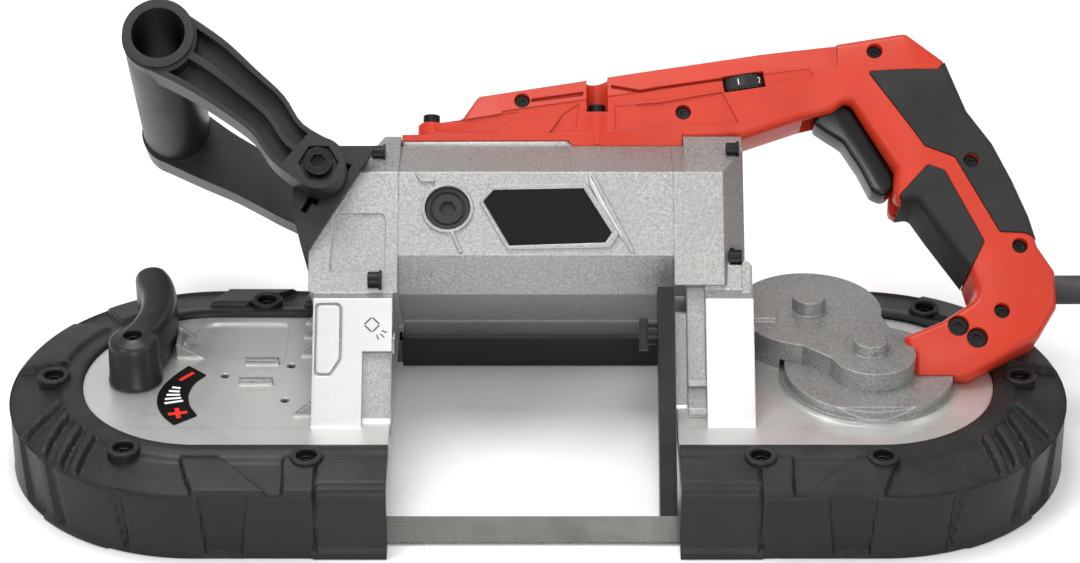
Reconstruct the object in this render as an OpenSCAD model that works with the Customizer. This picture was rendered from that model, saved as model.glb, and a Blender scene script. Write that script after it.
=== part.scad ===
// Corded portable band saw, standing on the bumpers of its two wheel guards.
// X runs along the blade, Y points away from the operator and Z up. The origin is on the table
// under the middle of the saw's outline; the pieces are drawn about the line between the wheels
// and seated() moves them there. Motor, handles and throat lie in a working plane that leans back
// about X: inside working_plane() the axes are x, s (up along the plane) and n (out of it).

/* [Blade and wheels] */
// Distance between the wheel axles with the blade taut
wheel_span = 322; // [320:0.5:324]
// Radius of a wheel rim without its tyre
wheel_r = 75.4; // [74:0.1:76]
// Thickness of a rubber tyre
tyre_t = 2.9; // [2:0.1:3.2]
// Height of a wheel rim
wheel_w = 12; // [10:0.5:13]
// Height of the middle of the blade over the table
blade_z = 8; // [7.5:0.1:8.3]
// Width of the blade, back to tooth tip
blade_w = 13; // [11:0.5:13]
// Thickness of the blade
blade_t = 0.65; // [0.5:0.05:0.8]
// Length of one tooth along the blade
tooth_pitch = 2.117; // [1.8:0.01:4]
// Depth of a tooth
tooth_h = 1; // [0.6:0.1:1.5]
// Radius of the axles in the wheels
axle_r = 6; // [5:0.5:6.5]
// How far the guides press the blade down the working plane
blade_drop = 3; // [2:0.5:3]

/* [Wheel guards] */
// Radius of the flat wheel deck
deck_r = 60.5; // [58:0.5:62]
// Height of the top of the deck
deck_z = 39; // [38.5:0.1:39.5]
// Thickness of the deck
deck_t = 5.5; // [4.5:0.5:6]
// Outer radius of the cast guard under the bumpers
guard_r = 88; // [86.5:0.5:89]
// Wall thickness of the cast guard
guard_t = 3.2; // [2.5:0.1:3.6]
// Outer radius of the bumpers
bumper_r = 97.5; // [95:0.5:100]
// Height of the upright wall of the bumpers
bumper_wall_z = 34; // [32:0.5:36]
// Height of the inner rim of the bumpers
bumper_rim_z = 41; // [40.5:0.1:42]
// Left end of the throat
throat_left = -70; // [-71:0.5:-69]
// Right end of the throat, at the gear frame
throat_right = 66; // [65:0.5:67]

/* [Motor] */
// Place of the motor axis up the working plane
motor_s = 106.5; // [106.3:0.1:106.7]
// Place of the motor axis out of the working plane
motor_n = 18; // [17.5:0.1:18.5]
// Half depth of the motor housing, from the axis to its front face
housing_half = 37; // [36.5:0.5:39]
// Depth of the motor housing below the motor axis
housing_low = 38.5; // [38:0.5:39]
// Height of the motor housing above the motor axis
housing_high = 39; // [38.5:0.5:39.5]
// Bore of the motor housing
housing_bore_r = 33.5; // [33:0.1:33.5]
// Outer radius of the armature stack
armature_r = 19; // [17:0.5:20]
// Radius of the commutator
commutator_r = 11; // [9.5:0.5:11.5]
// Radius of the motor shaft
motor_shaft_r = 4; // [3.5:0.1:4.2]
// Place of the brushes along the motor
brush_x = -44; // [-45:0.5:-43]

/* [Gears] */
// Thickness of the drive gear
drive_gear_w = 10; // [8:0.5:10]
// Height of the second shaft over the table
shaft_2_z = 42; // [41.8:0.1:42.2]
// Distance of the second shaft behind the drive axle
shaft_2_y = 40; // [39.8:0.1:40.2]

/* [Handles] */
// Half thickness of the rear handle
handle_half = 21; // [20:0.5:21.5]
// Half thickness of the handle above the motor
body_half = 14; // [13.5:0.5:14.5]
// Outer radius of the front grip
front_grip_r = 17.5; // [16.5:0.5:18]
// Radius of the hollow in the front grip
front_grip_bore_r = 13; // [11:0.5:14]
// Thickness of the trigger
trigger_w = 18; // [15:0.5:19]
// Radius of the speed dial
dial_r = 13.5; // [12.5:0.5:14]

/* [Cord] */
// Diameter of the mains cord
cord_d = 7.5; // [7:0.1:7.5]

/* [Hidden] */
$fn = 64;

tilt = 45;
root2 = sqrt(2);
wheel_x = wheel_span / 2;
tyre_r = wheel_r + tyre_t;
// Running gap between a tyre and the blade
blade_gap = 0.3;
blade_r = tyre_r + blade_gap + blade_t / 2;
wheel_z0 = blade_z + blade_w / 2 - wheel_w;
fit = 0.3;
run = 0.05;

// Places in the working plane and out of it
function plane_y(s, n) = (s - n) / root2;
function plane_z(s, n) = (s + n) / root2;
blade_s = (-blade_r + blade_z) / root2 - blade_drop;
blade_n = (blade_r + blade_z) / root2;

// Depth of the whole saw, from the front of the bumpers to the far end of the front grip
grip_top = [-184.5, 188];
grip_far = [-189, 175];
grip_n = [-50, 80];
saw_y = [-bumper_r, plane_y(grip_far.y + front_grip_r, grip_n[0])];
module seated() translate([0, -(saw_y[0] + saw_y[1]) / 2, 0]) children();

module working_plane() rotate([tilt, 0, 0]) children();

// Prism along X, from x0 to x1, of an outline drawn in the two other axes
module along_x(x0, x1) translate([x0, 0, 0]) rotate([90, 0, 90]) linear_extrude(x1 - x0)
  children();

// Prism out of the working plane, from n0 to n1, of an outline drawn in x and s
module along_n(n0, n1) translate([0, 0, n0]) linear_extrude(n1 - n0) children();

function unit(v) = v / norm(v);
function smooth(t) = let (u = max(0, min(1, t))) u * u * (3 - 2 * u);
function turn(v, a) = [v.x * cos(a) - v.y * sin(a), v.x * sin(a) + v.y * cos(a)];

// Arc that rounds the corner b of an outline a, b, c; each corner is [x, y, radius]
function corner(a, b, c) = let (
    p = [b.x, b.y],
    u = unit([a.x, a.y] - p),
    v = unit([c.x, c.y] - p),
    half = acos(max(-1, min(1, u * v))) / 2,
    m = p + unit(u + v) * b.z / sin(half),
    r0 = p + u * b.z / tan(half) - m,
    r1 = p + v * b.z / tan(half) - m,
    sweep = atan2(r0.x * r1.y - r0.y * r1.x, r0 * r1),
    steps = max(2, ceil(abs(sweep) / 18)))
  b.z == 0 ? [p] : [for (i = [0 : steps]) m + turn(r0, sweep * i / steps)];
function rounded(c) = let (k = len(c))
  [for (i = [0 : k - 1]) each corner(c[(i + k - 1) % k], c[i], c[(i + 1) % k])];

// Straight link between two round ends, the first of radius r1 at p1
module link(p1, r1, p2, r2) {
  d = norm(p2 - p1);
  a = atan2(p2.y - p1.y, p2.x - p1.x);
  b = acos((r1 - r2) / d);
  translate(p1) circle(r1);
  translate(p2) circle(r2);
  polygon([for (e = [[p1, r1, b], [p1, r1, -b], [p2, r2, -b], [p2, r2, b]])
    e[0] + e[1] * [cos(a + e[2]), sin(a + e[2])]]);
}

// Half stadium: round end of radius r about the wheel axle, straight to the throat at reach
module half_stadium(r, reach) {
  circle(r);
  translate([0, -r]) square([reach, 2 * r]);
}

// Tube swept along points, with flat ends; frames stay level with the table
function level_frame(t) = let (side = unit(cross(t, [0, 0, 1]))) [side, cross(side, t)];
module tube(p, r, sides) {
  k = len(p);
  ring = [for (i = [0 : k - 1]) let (
      t = unit(p[min(i + 1, k - 1)] - p[max(i - 1, 0)]),
      f = level_frame(t))
    each [for (j = [0 : sides - 1]) let (a = (j + 0.5) * 360 / sides)
      p[i] + r * (f[0] * cos(a) + f[1] * sin(a))]];
  skin = [for (i = [0 : k - 2], j = [0 : sides - 1]) let (
      a = i * sides + j,
      b = i * sides + (j + 1) % sides)
    each [[a, b, b + sides], [a, b + sides, a + sides]]];
  ends = [[for (j = [0 : sides - 1]) sides - 1 - j], [for (j = [0 : sides - 1]) (k - 1) * sides + j]];
  polyhedron(ring, [for (f = concat(skin, ends)) [for (i = [len(f) - 1 : -1 : 0]) f[i]]],
    convexity = 10);
}

// Smooth curve through points, by the mean of the neighbours' directions
function spline_point(p, i, t) = let (
    k = len(p),
    a = p[max(i - 1, 0)], b = p[i], c = p[i + 1], d = p[min(i + 2, k - 1)])
  b + t / 2 * (c - a) + t * t / 2 * (2 * a - 5 * b + 4 * c - d)
    + t * t * t / 2 * (3 * b - a - 3 * c + d);
function spline(p, steps) = concat([for (i = [0 : len(p) - 2], j = [0 : steps - 1])
  spline_point(p, i, j / steps)], [p[len(p) - 1]]);

// Involute gear outline with z teeth; play is the gap between flanks along the pitch circle
function involute(rb, r) = let (t = sqrt(max(0, (r / rb) * (r / rb) - 1))) t * 180 / PI - atan(t);
function flank(z, m, play) = let (
    rp = m * z / 2,
    rb = rp * cos(20),
    rt = rp + 0.95 * m,
    half = 90 / z - play / rp * 90 / PI + involute(rb, rp))
  concat([[rp - 1.2 * m, min(half + 20 / z, 172 / z)]],
    [for (i = [0 : 3]) let (r = max(rb, rp - 0.7 * m) * (3 - i) / 3 + rt * i / 3)
      [r, half - involute(rb, r)]]);
module gear_outline(z, m, play = 0.12) {
  f = flank(z, m, play);
  polygon([for (k = [0 : z - 1]) each concat(
    [for (p = f) p[0] * [cos(k * 360 / z - p[1]), sin(k * 360 / z - p[1])]],
    [for (i = [len(f) - 1 : -1 : 0]) f[i][0] * [cos(k * 360 / z + f[i][1]),
      sin(k * 360 / z + f[i][1])]])]);
}

// Cap screw with its head on z = 0 and its shank below it; the drive recess is six sided
module cap_screw(head_r, head_h, shank_r, length) {
  difference() {
    cylinder(r = head_r, h = head_h);
    translate([0, 0, head_h * 0.4]) cylinder(r = head_r * 0.55, h = head_h, $fn = 6);
  }
  translate([0, 0, -length]) cylinder(r = shank_r, h = length + 0.01);
}

// Wheel decks and guards

guard_z = deck_z - deck_t;
flange_t = 4.5;
flange_z = guard_z - flange_t;
deck_back = 0.4;
left_reach = wheel_x + throat_left - deck_back;
right_reach = wheel_x - throat_right - deck_back;
screw_boss_r = 5;
bumper_screw_r = 2;

// Bumper screws, seen from the wheel axle with the throat towards +x
left_bumper_screws = [[23, 74], [-75, 0], [-33, -65], [53, -72]];
right_bumper_screws = [[57, -72], [0, -72], [-74, 0], [-35, 66]];

// One cast wheel guard about its axle at the origin, open to the throat at +x
module wheel_deck(reach, screws) {
  difference() {
    union() {
      translate([0, 0, guard_z]) linear_extrude(deck_t) half_stadium(deck_r, reach);
      translate([0, 0, flange_z]) linear_extrude(flange_t) half_stadium(guard_r, reach);
      translate([0, 0, 3]) linear_extrude(flange_z - 3 + 0.01) difference() {
        half_stadium(guard_r, reach - 32);
        half_stadium(guard_r - guard_t, reach);
      }
      for (a = [60 : 30 : 300]) if (a != 180) rotate(a)
        translate([30, -1.2, flange_z - 7]) cube([guard_r - 31, 2.4, 7.01]);
      for (p = screws) translate([p.x, p.y, flange_z - 8]) cylinder(r = screw_boss_r, h = 8.01);
    }
    for (p = screws) translate([p.x, p.y, flange_z - 9])
      cylinder(r = bumper_screw_r + run, h = 30);
  }
}

// Moulded cover of one wheel guard, about the same axle
bumper_in = guard_r + fit;
module bumper_profile() polygon([[bumper_in, 0], [bumper_r, 0], [bumper_r, bumper_wall_z],
  [deck_r + 9, bumper_rim_z - 1.2], [deck_r + 5, bumper_rim_z], [deck_r + fit, bumper_rim_z],
  [deck_r + fit, guard_z + 0.05], [bumper_in, guard_z + 0.05]]);

module bumper(reach, screws, notch) {
  difference() {
    union() {
      rotate([0, 0, 90]) rotate_extrude(angle = 180, $fn = 128) bumper_profile();
      along_x(0, reach) bumper_profile();
      mirror([0, 1, 0]) along_x(0, reach) bumper_profile();
      for (p = screws) translate([p.x, p.y, guard_z + 0.05])
        cylinder(r = 7.8, h = bumper_rim_z + 1.3 - guard_z);
    }
    for (p = screws) translate([p.x, p.y, 0]) {
      cylinder(r = bumper_screw_r + 0.3, h = 60);
      translate([0, 0, bumper_rim_z - 4]) cylinder(r = 4.9, h = 20);
    }
    // Slanted hollows in the sloping top
    for (a = [108 : 24 : 252]) rotate(a + 8) translate([bumper_r - 3, 0, bumper_wall_z + 2])
      rotate([0, 12, 20]) cube([26, 7, 2.4], center = true);
    for (side = [-1, 1], k = [0 : 2]) translate([12 + 24 * k, side * (bumper_r - 9), bumper_wall_z + 3])
      rotate([-side * 12, 0, side * 32]) cube([7, 26, 2.4], center = true);
    // Shallow panels in the upright wall
    for (a = [120 : 30 : 240]) rotate(a) translate([bumper_r + 3, 0, 12])
      cube([8, 22, 14], center = true);
    for (k = [0 : 1]) translate([18 + 40 * k, -bumper_r - 3, 12]) rotate([0, 22, 0])
      cube([20, 8, 15], center = true);
    // Gap for the castings that stand behind the throat
    translate([notch, deck_r, guard_z]) cube([reach - notch + 1, 20, 20]);
    // Keeps the inside free for the cast guard
    translate([0, 0, -1]) linear_extrude(guard_z + 1.05) half_stadium(bumper_in, reach + 1);
  }
}

module at_idler() translate([-wheel_x, 0, 0]) children();
module at_drive() translate([wheel_x, 0, 0]) mirror([1, 0, 0]) children();

module left_bumper() color([0.22, 0.22, 0.23]) seated() at_idler()
  bumper(left_reach, left_bumper_screws, 49.5);
module right_bumper() color([0.22, 0.22, 0.23]) seated() at_drive()
  bumper(right_reach, right_bumper_screws, 57);
module bumper_screws() color([0.1, 0.1, 0.1]) seated() {
  at_idler() for (p = left_bumper_screws) translate([p.x, p.y, bumper_rim_z - 4])
    cap_screw(4.4, 2.6, bumper_screw_r, 14);
  at_drive() for (p = right_bumper_screws) translate([p.x, p.y, bumper_rim_z - 4])
    cap_screw(4.4, 2.6, bumper_screw_r, 14);
}

// Strip that covers the return side of the blade behind the throat
module rear_blade_guard() color([0.12, 0.12, 0.12]) seated() {
  translate([throat_left + fit, blade_r - 3.5, 1.5]) cube([throat_right - throat_left - 2 * fit, 1.6, 16.5]);
  translate([throat_left + fit, blade_r - 3.5, 16.5])
    cube([throat_right - throat_left - 2 * fit, guard_r - blade_r + 3.5, 1.6]);
}

// Castings in the working plane

pad_n = 58.5;
housing_s0 = motor_s - housing_low;
housing_s1 = motor_s + housing_high;
// The end caps stand higher than the housing, so the handle's flange lies between them
cap_s1 = housing_s1 + 5;
housing_n0 = motor_n - housing_half;
housing_n1 = motor_n + housing_half;
bridge_n = -40;
bridge_t = 9;
left_cap_x = -111;
pad_left = [-108, throat_left];
pad_right = [80.6, 103.6];
cap_seam_x = -68;
gear_cap_x = [throat_right, 90, 101];
flange_x = [cap_seam_x + fit, 71.7];
flange_n = [housing_n0 + 19, housing_n1 - 22];

// Motor barrel outline in s and n, with the bridge flange at its back
module barrel_outline() polygon([
  [housing_s0, bridge_n], [housing_s0 + bridge_t, bridge_n], [housing_s0 + bridge_t + 3, housing_n0],
  [housing_s1 - 17.6, housing_n0], [housing_s1, housing_n0 + 19], [housing_s1, housing_n1 - 21.6],
  [housing_s1 - 20.4, housing_n1], [housing_s0 + 15, housing_n1], [housing_s0, housing_n1 - 17.6]]);

// Outline of both end caps, up to the height top
module cap_outline(low, top) polygon([[low, housing_n0], [top - 17.6, housing_n0],
  [top, housing_n0 + 19], [top, housing_n1 - 21.6], [housing_s1 - 20.4, housing_n1], [low, housing_n1]]);

module brush_axis() for (a = [0, 180]) translate([brush_x, motor_s, motor_n]) rotate([a, 0, 0])
  children();

module motor_housing() color([0.78, 0.78, 0.77]) seated() working_plane() difference() {
  union() {
    along_x(cap_seam_x, throat_right) barrel_outline();
    // Raised border of the badge and the slanted ribs beside it
    along_n(housing_n1 - 0.5, housing_n1 + 1.2) difference() {
      polygon([[-28.5, 109.8], [-23.5, 118], [23.7, 119], [39.5, 93.8], [35.3, 86.5], [-15, 85.5]]);
      polygon([[-27, 110.2], [-21.8, 116.2], [22.4, 117], [36.4, 94], [32.9, 88.7], [-14, 87.2]]);
    }
    along_n(housing_n1 - 0.5, housing_n1 + 1.5) {
      link([-59, 124], 0.8, [-56.5, 120.5], 0.8);
      link([-56.5, 120.5], 0.8, [-51, 120.5], 0.8);
      link([-41.5, 94], 0.8, [-37.5, 84.5], 0.8);
      link([27, 122.5], 1, [45.5, 85], 1);
    }
    translate([brush_x, motor_s, housing_n1 - 0.5]) cylinder(r = 12.6, h = 1.9);
  }
  along_x(cap_seam_x - 1, throat_right + 1) translate([motor_s, motor_n]) circle(housing_bore_r);
  brush_axis() {
    translate([0, 0, housing_half - 4.5]) cylinder(r = 11.1, h = 10);
    cylinder(r = 7.6, h = housing_half + 5);
  }
  for (p = frame_screw_places) along_x(min(p[0], p[0] - 31 * p[3]), max(p[0], p[0] - 31 * p[3]))
    translate([p[1], p[2]]) circle(frame_screw_r + run);
  for (p = flange_screw_places) translate([p[0], housing_s1 - flange_screw_depth, p[1]])
    rotate([-90, 0, 0]) cylinder(r = flange_screw_r + run, h = 20);
}

// Cap screws that hold both frames to the motor housing: end face x, s, n and direction
frame_screw_r = 2.5;
left_screw_x = left_cap_x + 32;
right_screw_x = gear_cap_x[1] + 3;
frame_screw_places = concat(
  [for (q = [[housing_s0 + 7, 36], [cap_s1 - 8.5, 31], [housing_s0 + 10, -12]])
    [left_screw_x, q[0], q[1], -1]],
  [for (q = [[housing_s0 + 15, 49], [cap_s1 - 8.5, 31]]) [right_screw_x, q[0], q[1], 1]]);
module frame_screws() color([0.1, 0.1, 0.1]) seated() working_plane() for (p = frame_screw_places)
  translate([p[0], p[1], p[2]]) rotate([0, 90 * p[3], 0]) cap_screw(4.2, 6, frame_screw_r, 30);

// Side outline of the motor end cap, slanted where the front handle's wedge sits
module end_cap_outline() polygon(rounded([[cap_seam_x, housing_s0 - 4, 0], [left_cap_x, housing_s0 - 4, 3],
  [left_cap_x, housing_s0 + 18, 3], [-76, cap_s1, 2], [cap_seam_x, cap_s1, 0]]));

gusset_x = -178.4;
left_bearing_x = -88;

// Fan of cooling slots cut through the slanted side of the end cap
module louvres() for (k = [0 : 5])
  translate([left_cap_x + 2 + 4.4 * k, housing_s0 + 20 + 8.1 * k, motor_n - 2])
  rotate([0, 0, 61]) cube([3.4, 16, 50], center = true);

module idler_frame() color([0.8, 0.8, 0.79]) seated() difference() {
  union() {
    at_idler() wheel_deck(left_reach, left_bumper_screws);
    intersection() {
      working_plane() difference() {
        union() {
          along_x(pad_left[0], pad_left[1]) polygon([[-17, pad_n], [60, pad_n], [64, pad_n - 3.5],
            [housing_s0 + 12, housing_n1], [housing_s0 + 12, bridge_n], [housing_s0, bridge_n], [44, -12]]);
          intersection() {
            along_n(housing_n0, housing_n1) end_cap_outline();
            along_x(left_cap_x - 1, cap_seam_x + 1) cap_outline(housing_s0 - 4, cap_s1);
          }
        }
        // Motor bore, bearing seat and the hollow behind the pad
        along_x(-78, cap_seam_x + 1) translate([motor_s, motor_n]) circle(housing_bore_r - 3);
        along_x(left_bearing_x - 0.5, -77) translate([motor_s, motor_n]) circle(11);
        along_x(pad_left[0] + 4, pad_left[1] - 4) polygon([[-17, pad_n - 7], [60, pad_n - 7],
          [62, housing_n0], [50, -8], [30, 6]]);
        louvres();
        // Recess in the front of the end cap and the outline sunk in the pad
        along_n(housing_n1 - 1.5, housing_n1 + 5) polygon(rounded([[-101, housing_s0 + 6, 3],
          [-74, housing_s0 + 6, 3], [-74, 104, 3], [-99, 104, 3]]));
        along_n(pad_n - 1, pad_n + 5) difference() {
          polygon(rounded([[-107, 58, 2], [-94, 58, 3], [-94, 30, 3], [-99, 22, 2], [-107, 22, 2]]));
          polygon(rounded([[-106, 56.8, 2], [-95.2, 56.8, 2], [-95.2, 30.5, 2], [-99.6, 23.2, 2],
            [-106, 23.2, 2]]));
        }
        along_n(pad_n - 3, pad_n + 5) translate([-84, -8]) square([13.9, 42]);
      }
      translate([-140, -90, guard_z - 2]) cube([90, 300, 200]);
    }
    // Rest bars, edge ribs and stop gussets on the deck
    for (p = [[-144, 13.5], [-145.5, -5.5]]) translate([p.x, p.y, deck_z - 0.5]) cube([16.5, 3, 3.5]);
    for (y = [-32, 24, 42, 56]) translate([pad_left[0] + 1, y, deck_z]) rotate([90, 0, 0])
      linear_extrude(2.4) polygon([[0, -1], [-10, -1], [-10, 0.5], [0, 9]]);
    for (g = [[22, 8], [36, 10]]) translate([gusset_x, g[0], deck_z]) rotate([90, 0, 0]) linear_extrude(2)
      polygon([[0, -1], [13, -1], [13, 0.5], [0, g[1]]]);
    translate([gusset_x, 20, deck_z - 1]) cube([2, 16, 9]);
    // Boss of the tension lever
    translate([lever_x, 0, flange_z]) cylinder(r = 11, h = deck_z - flange_z + 0.5);
    for (side = [-1, 1]) translate([-189, side * (slide_w / 2 + 5.4) - 5, flange_z - 8.5])
      cube([62, 10, 8.6]);
    translate([-124, -9, flange_z - 11]) cube([5, 18, 11.5]);
  }
  // Sunk rear part of the deck
  translate([0, 0, deck_z - 1.2]) linear_extrude(5) polygon(rounded([[-178, 21.5, 2],
    [-125, 18.7, 2], [-125, 55, 4], [-170, 55, 12]]));
  // Threaded holes for a bench stand
  for (p = stand_holes) translate([p.x, p.y, deck_z - 20]) cylinder(r = stand_hole_r, h = 40);
  // Lever shaft and the window of the sliding block
  translate([lever_x, 0, 0]) cylinder(r = lever_shaft_r + run, h = 80);
  translate([-191, -slide_w / 2 - fit, flange_z - 12]) cube([67, slide_w + 2 * fit, 12]);
  working_plane() for (p = frame_screw_places) if (p[3] < 0) {
    along_x(p[0] - 20, p[0] + 20) translate([p[1], p[2]]) circle(frame_screw_r + run);
    along_x(p[0] - 30, p[0]) translate([p[1], p[2]]) circle(5.2);
  }
  working_plane() along_x(throat_left - 6, throat_left + 5) translate([lamp_s, lamp_n]) circle(lamp_r + run);
  at_idler() translate([left_reach - 8, 0, -1]) {
    translate([0, blade_r - 6, 0]) cube([30, 20, 20]);
    translate([0, -guard_r - 1, 0]) cube([30, 30, 20]);
  }
}

stand_hole_r = 2.1;
stand_holes = [[-153, 3.5], [-121.2, 12.9], [-122, -19.2]];
lamp_s = 40;
lamp_n = 50;
lamp_r = 4;
module lamp_lens() color([0.95, 0.95, 0.9, 0.6]) seated() working_plane() {
  along_x(throat_left - 4, throat_left) translate([lamp_s, lamp_n]) circle(lamp_r);
  along_x(throat_left, throat_left + 1) translate([lamp_s, lamp_n]) circle(lamp_r + 1);
}

module badge_plate() color([0.06, 0.06, 0.06]) seated() working_plane()
  along_n(housing_n1 + 0.05, housing_n1 + 0.8)
  polygon([[-26.4, 110], [-21.5, 115.6], [22, 116.4], [35.6, 94], [32.5, 89.3], [-13.7, 87.8]]);

// Gear train: the stages follow from the tooth counts and modules

module_1 = 1;
module_2 = 1.25;
module_3 = 1;
module_4 = 1.5;
teeth_motor = 8;
teeth_1 = 40;
teeth_1_small = 9;
teeth_2 = 36;
teeth_bevel = 16;
teeth_pinion = 12;
teeth_drive = 52;
reach_1 = module_1 * (teeth_motor + teeth_1) / 2;
reach_2 = module_2 * (teeth_1_small + teeth_2) / 2;
reach_4 = module_4 * (teeth_pinion + teeth_drive) / 2;
// Second and upright shafts cross above the drive gear
bevel_r = module_3 * teeth_bevel / 2;
upright_x = wheel_x - sqrt(reach_4 * reach_4 - shaft_2_y * shaft_2_y);
shaft_2 = [(shaft_2_y + shaft_2_z) / root2, (shaft_2_z - shaft_2_y) / root2];
motor_axis = [motor_s, motor_n];
to_shaft_2 = shaft_2 - motor_axis;
gap_2 = norm(to_shaft_2);
along_1 = (gap_2 * gap_2 + reach_1 * reach_1 - reach_2 * reach_2) / (2 * gap_2);
shaft_1 = motor_axis + to_shaft_2 / gap_2 * along_1
  + turn(to_shaft_2 / gap_2, -90) * sqrt(reach_1 * reach_1 - along_1 * along_1);
stage_1_x = [82, 89];
stage_2_x = [73.5, 80.5];
drive_gear_z = 20.5;
gear_room_z = [19.5, 32];
bulkhead_x = 72;

function angle_of(v) = atan2(v.y, v.x);
aim_1 = angle_of(shaft_1 - motor_axis);
aim_2 = angle_of(shaft_2 - shaft_1);
aim_4 = atan2(shaft_2_y, upright_x - wheel_x);

// Rotation that puts a tooth gap of a gear towards the tooth of its mate
function gap_turn(aim, z) = aim + 180 + 180 / z;

module gear_room_outline(wall) {
  translate([wheel_x, 0]) circle(reach_4 * teeth_drive / (teeth_pinion + teeth_drive) + module_4 + 2 + wall);
  translate([upright_x, shaft_2_y]) circle(module_4 * teeth_pinion / 2 + module_4 + 2 + wall);
}
module side_room_outline(wall) {
  translate(motor_axis) circle(9 + wall);
  translate(shaft_1) circle(reach_1 * teeth_1 / 48 + module_1 + 1.5 + wall);
  translate(shaft_2) circle(reach_2 * teeth_2 / 45 + module_2 + 1.2 + wall);
}

module gear_frame() color([0.8, 0.8, 0.79]) seated() difference() {
  union() {
    at_drive() wheel_deck(right_reach, right_bumper_screws);
    intersection() {
      working_plane() union() {
        // Pad block, the sunk strip beside it and the cap over the motor's gear end
        along_x(pad_right[0], pad_right[1]) polygon([[-17, pad_n], [60, pad_n], [66, pad_n - 5],
          [housing_s0 + 12, housing_n1 - 3], [housing_s0 + 14, -22], [72, -30], [44, -12]]);
        along_x(gear_cap_x[0] + 6, pad_right[0] + 1) polygon([[-17, 49], [housing_s0 + 5, 49],
          [housing_s0 + 14, -22], [72, -30], [44, -12]]);
        for (s = [4, 18]) along_n(40, 54) translate([gear_cap_x[0] + 6, s]) square([9, 3]);
        along_n(0, 55) translate([pad_right[1] - 5, housing_s0 - 4]) {
          translate([0, 0]) square([4, 14]);
          translate([2, 14]) circle(2);
        }
        intersection() {
          union() {
            along_x(gear_cap_x[0], gear_cap_x[2]) cap_outline(housing_s0, housing_s1);
            along_x(flange_x[1] + fit, gear_cap_x[2]) cap_outline(housing_s0, cap_s1);
          }
          rotate([-90, 0, 0]) translate([0, 0, 60]) linear_extrude(100) polygon([
            [gear_cap_x[0], -housing_n1], [gear_cap_x[1], -housing_n1], [gear_cap_x[2], -housing_n1 + 14],
            [gear_cap_x[2], -housing_n0], [gear_cap_x[0], -housing_n0]]);
        }
      }
      translate([60, -90, guard_z - 15]) cube([60, 300, 200]);
    }
    // Disc over the drive gear, walls of the gear room under the deck
    translate([wheel_x, 0, deck_z - 0.5]) cylinder(r = 43.5, h = 2.5);
    translate([wheel_x, 0, deck_z - 0.5]) cylinder(r = 41, h = 7.5);
    translate([0, 0, gear_room_z[0]]) linear_extrude(guard_z - gear_room_z[0] + 1) gear_room_outline(3);
  }
  translate([0, 0, gear_room_z[0] - 5]) linear_extrude(gear_room_z[1] - gear_room_z[0] + 5)
    gear_room_outline(0);
  working_plane() along_x(bulkhead_x, pad_right[0] + 9.5) side_room_outline(0);
  working_plane() along_x(60, bulkhead_x + 0.01) translate(motor_axis) circle(11);
  working_plane() along_x(bulkhead_x - 4.5, bulkhead_x + 1) {
    translate(shaft_1) circle(3 + run);
    translate(shaft_2) circle(4 + run);
  }
  // Way of the second shaft, and the room of the bevel gears in the deck
  along_x(upright_x - 12, upright_x - 3) translate([shaft_2_y, shaft_2_z]) circle(bevel_r + 1.5);
  along_x(pad_right[0], upright_x - 3) translate([shaft_2_y, shaft_2_z]) circle(6.2);
  translate([upright_x - 12, shaft_2_y - 11, gear_room_z[1] + 2]) cube([24, 22, 20]);
  translate([upright_x, shaft_2_y, 0]) cylinder(r = 3 + 1, h = 60);
  // Seats of the drive shaft's upper bearing
  translate([wheel_x, 0, 0]) cylinder(r = 8, h = 60);
  translate([wheel_x, 0, gear_room_z[1] - 1]) cylinder(r = 13, h = 10);
  working_plane() for (p = frame_screw_places) if (p[3] > 0) {
    along_x(p[0] - 30, p[0] + 1) translate([p[1], p[2]]) circle(frame_screw_r + run);
    along_x(p[0], p[0] + 30) translate([p[1], p[2]]) circle(5.2);
  }
  // Bores of the outer shaft bearings
  working_plane() along_x(stage_1_x[1], stage_1_x[1] + 7) translate(shaft_1) circle(6);
  at_drive() translate([right_reach - 8, 0, -1]) {
    translate([0, blade_r - 6, 0]) cube([30, 20, 20]);
    translate([0, -guard_r - 1, 0]) cube([30, 30, 20]);
  }
}

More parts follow.
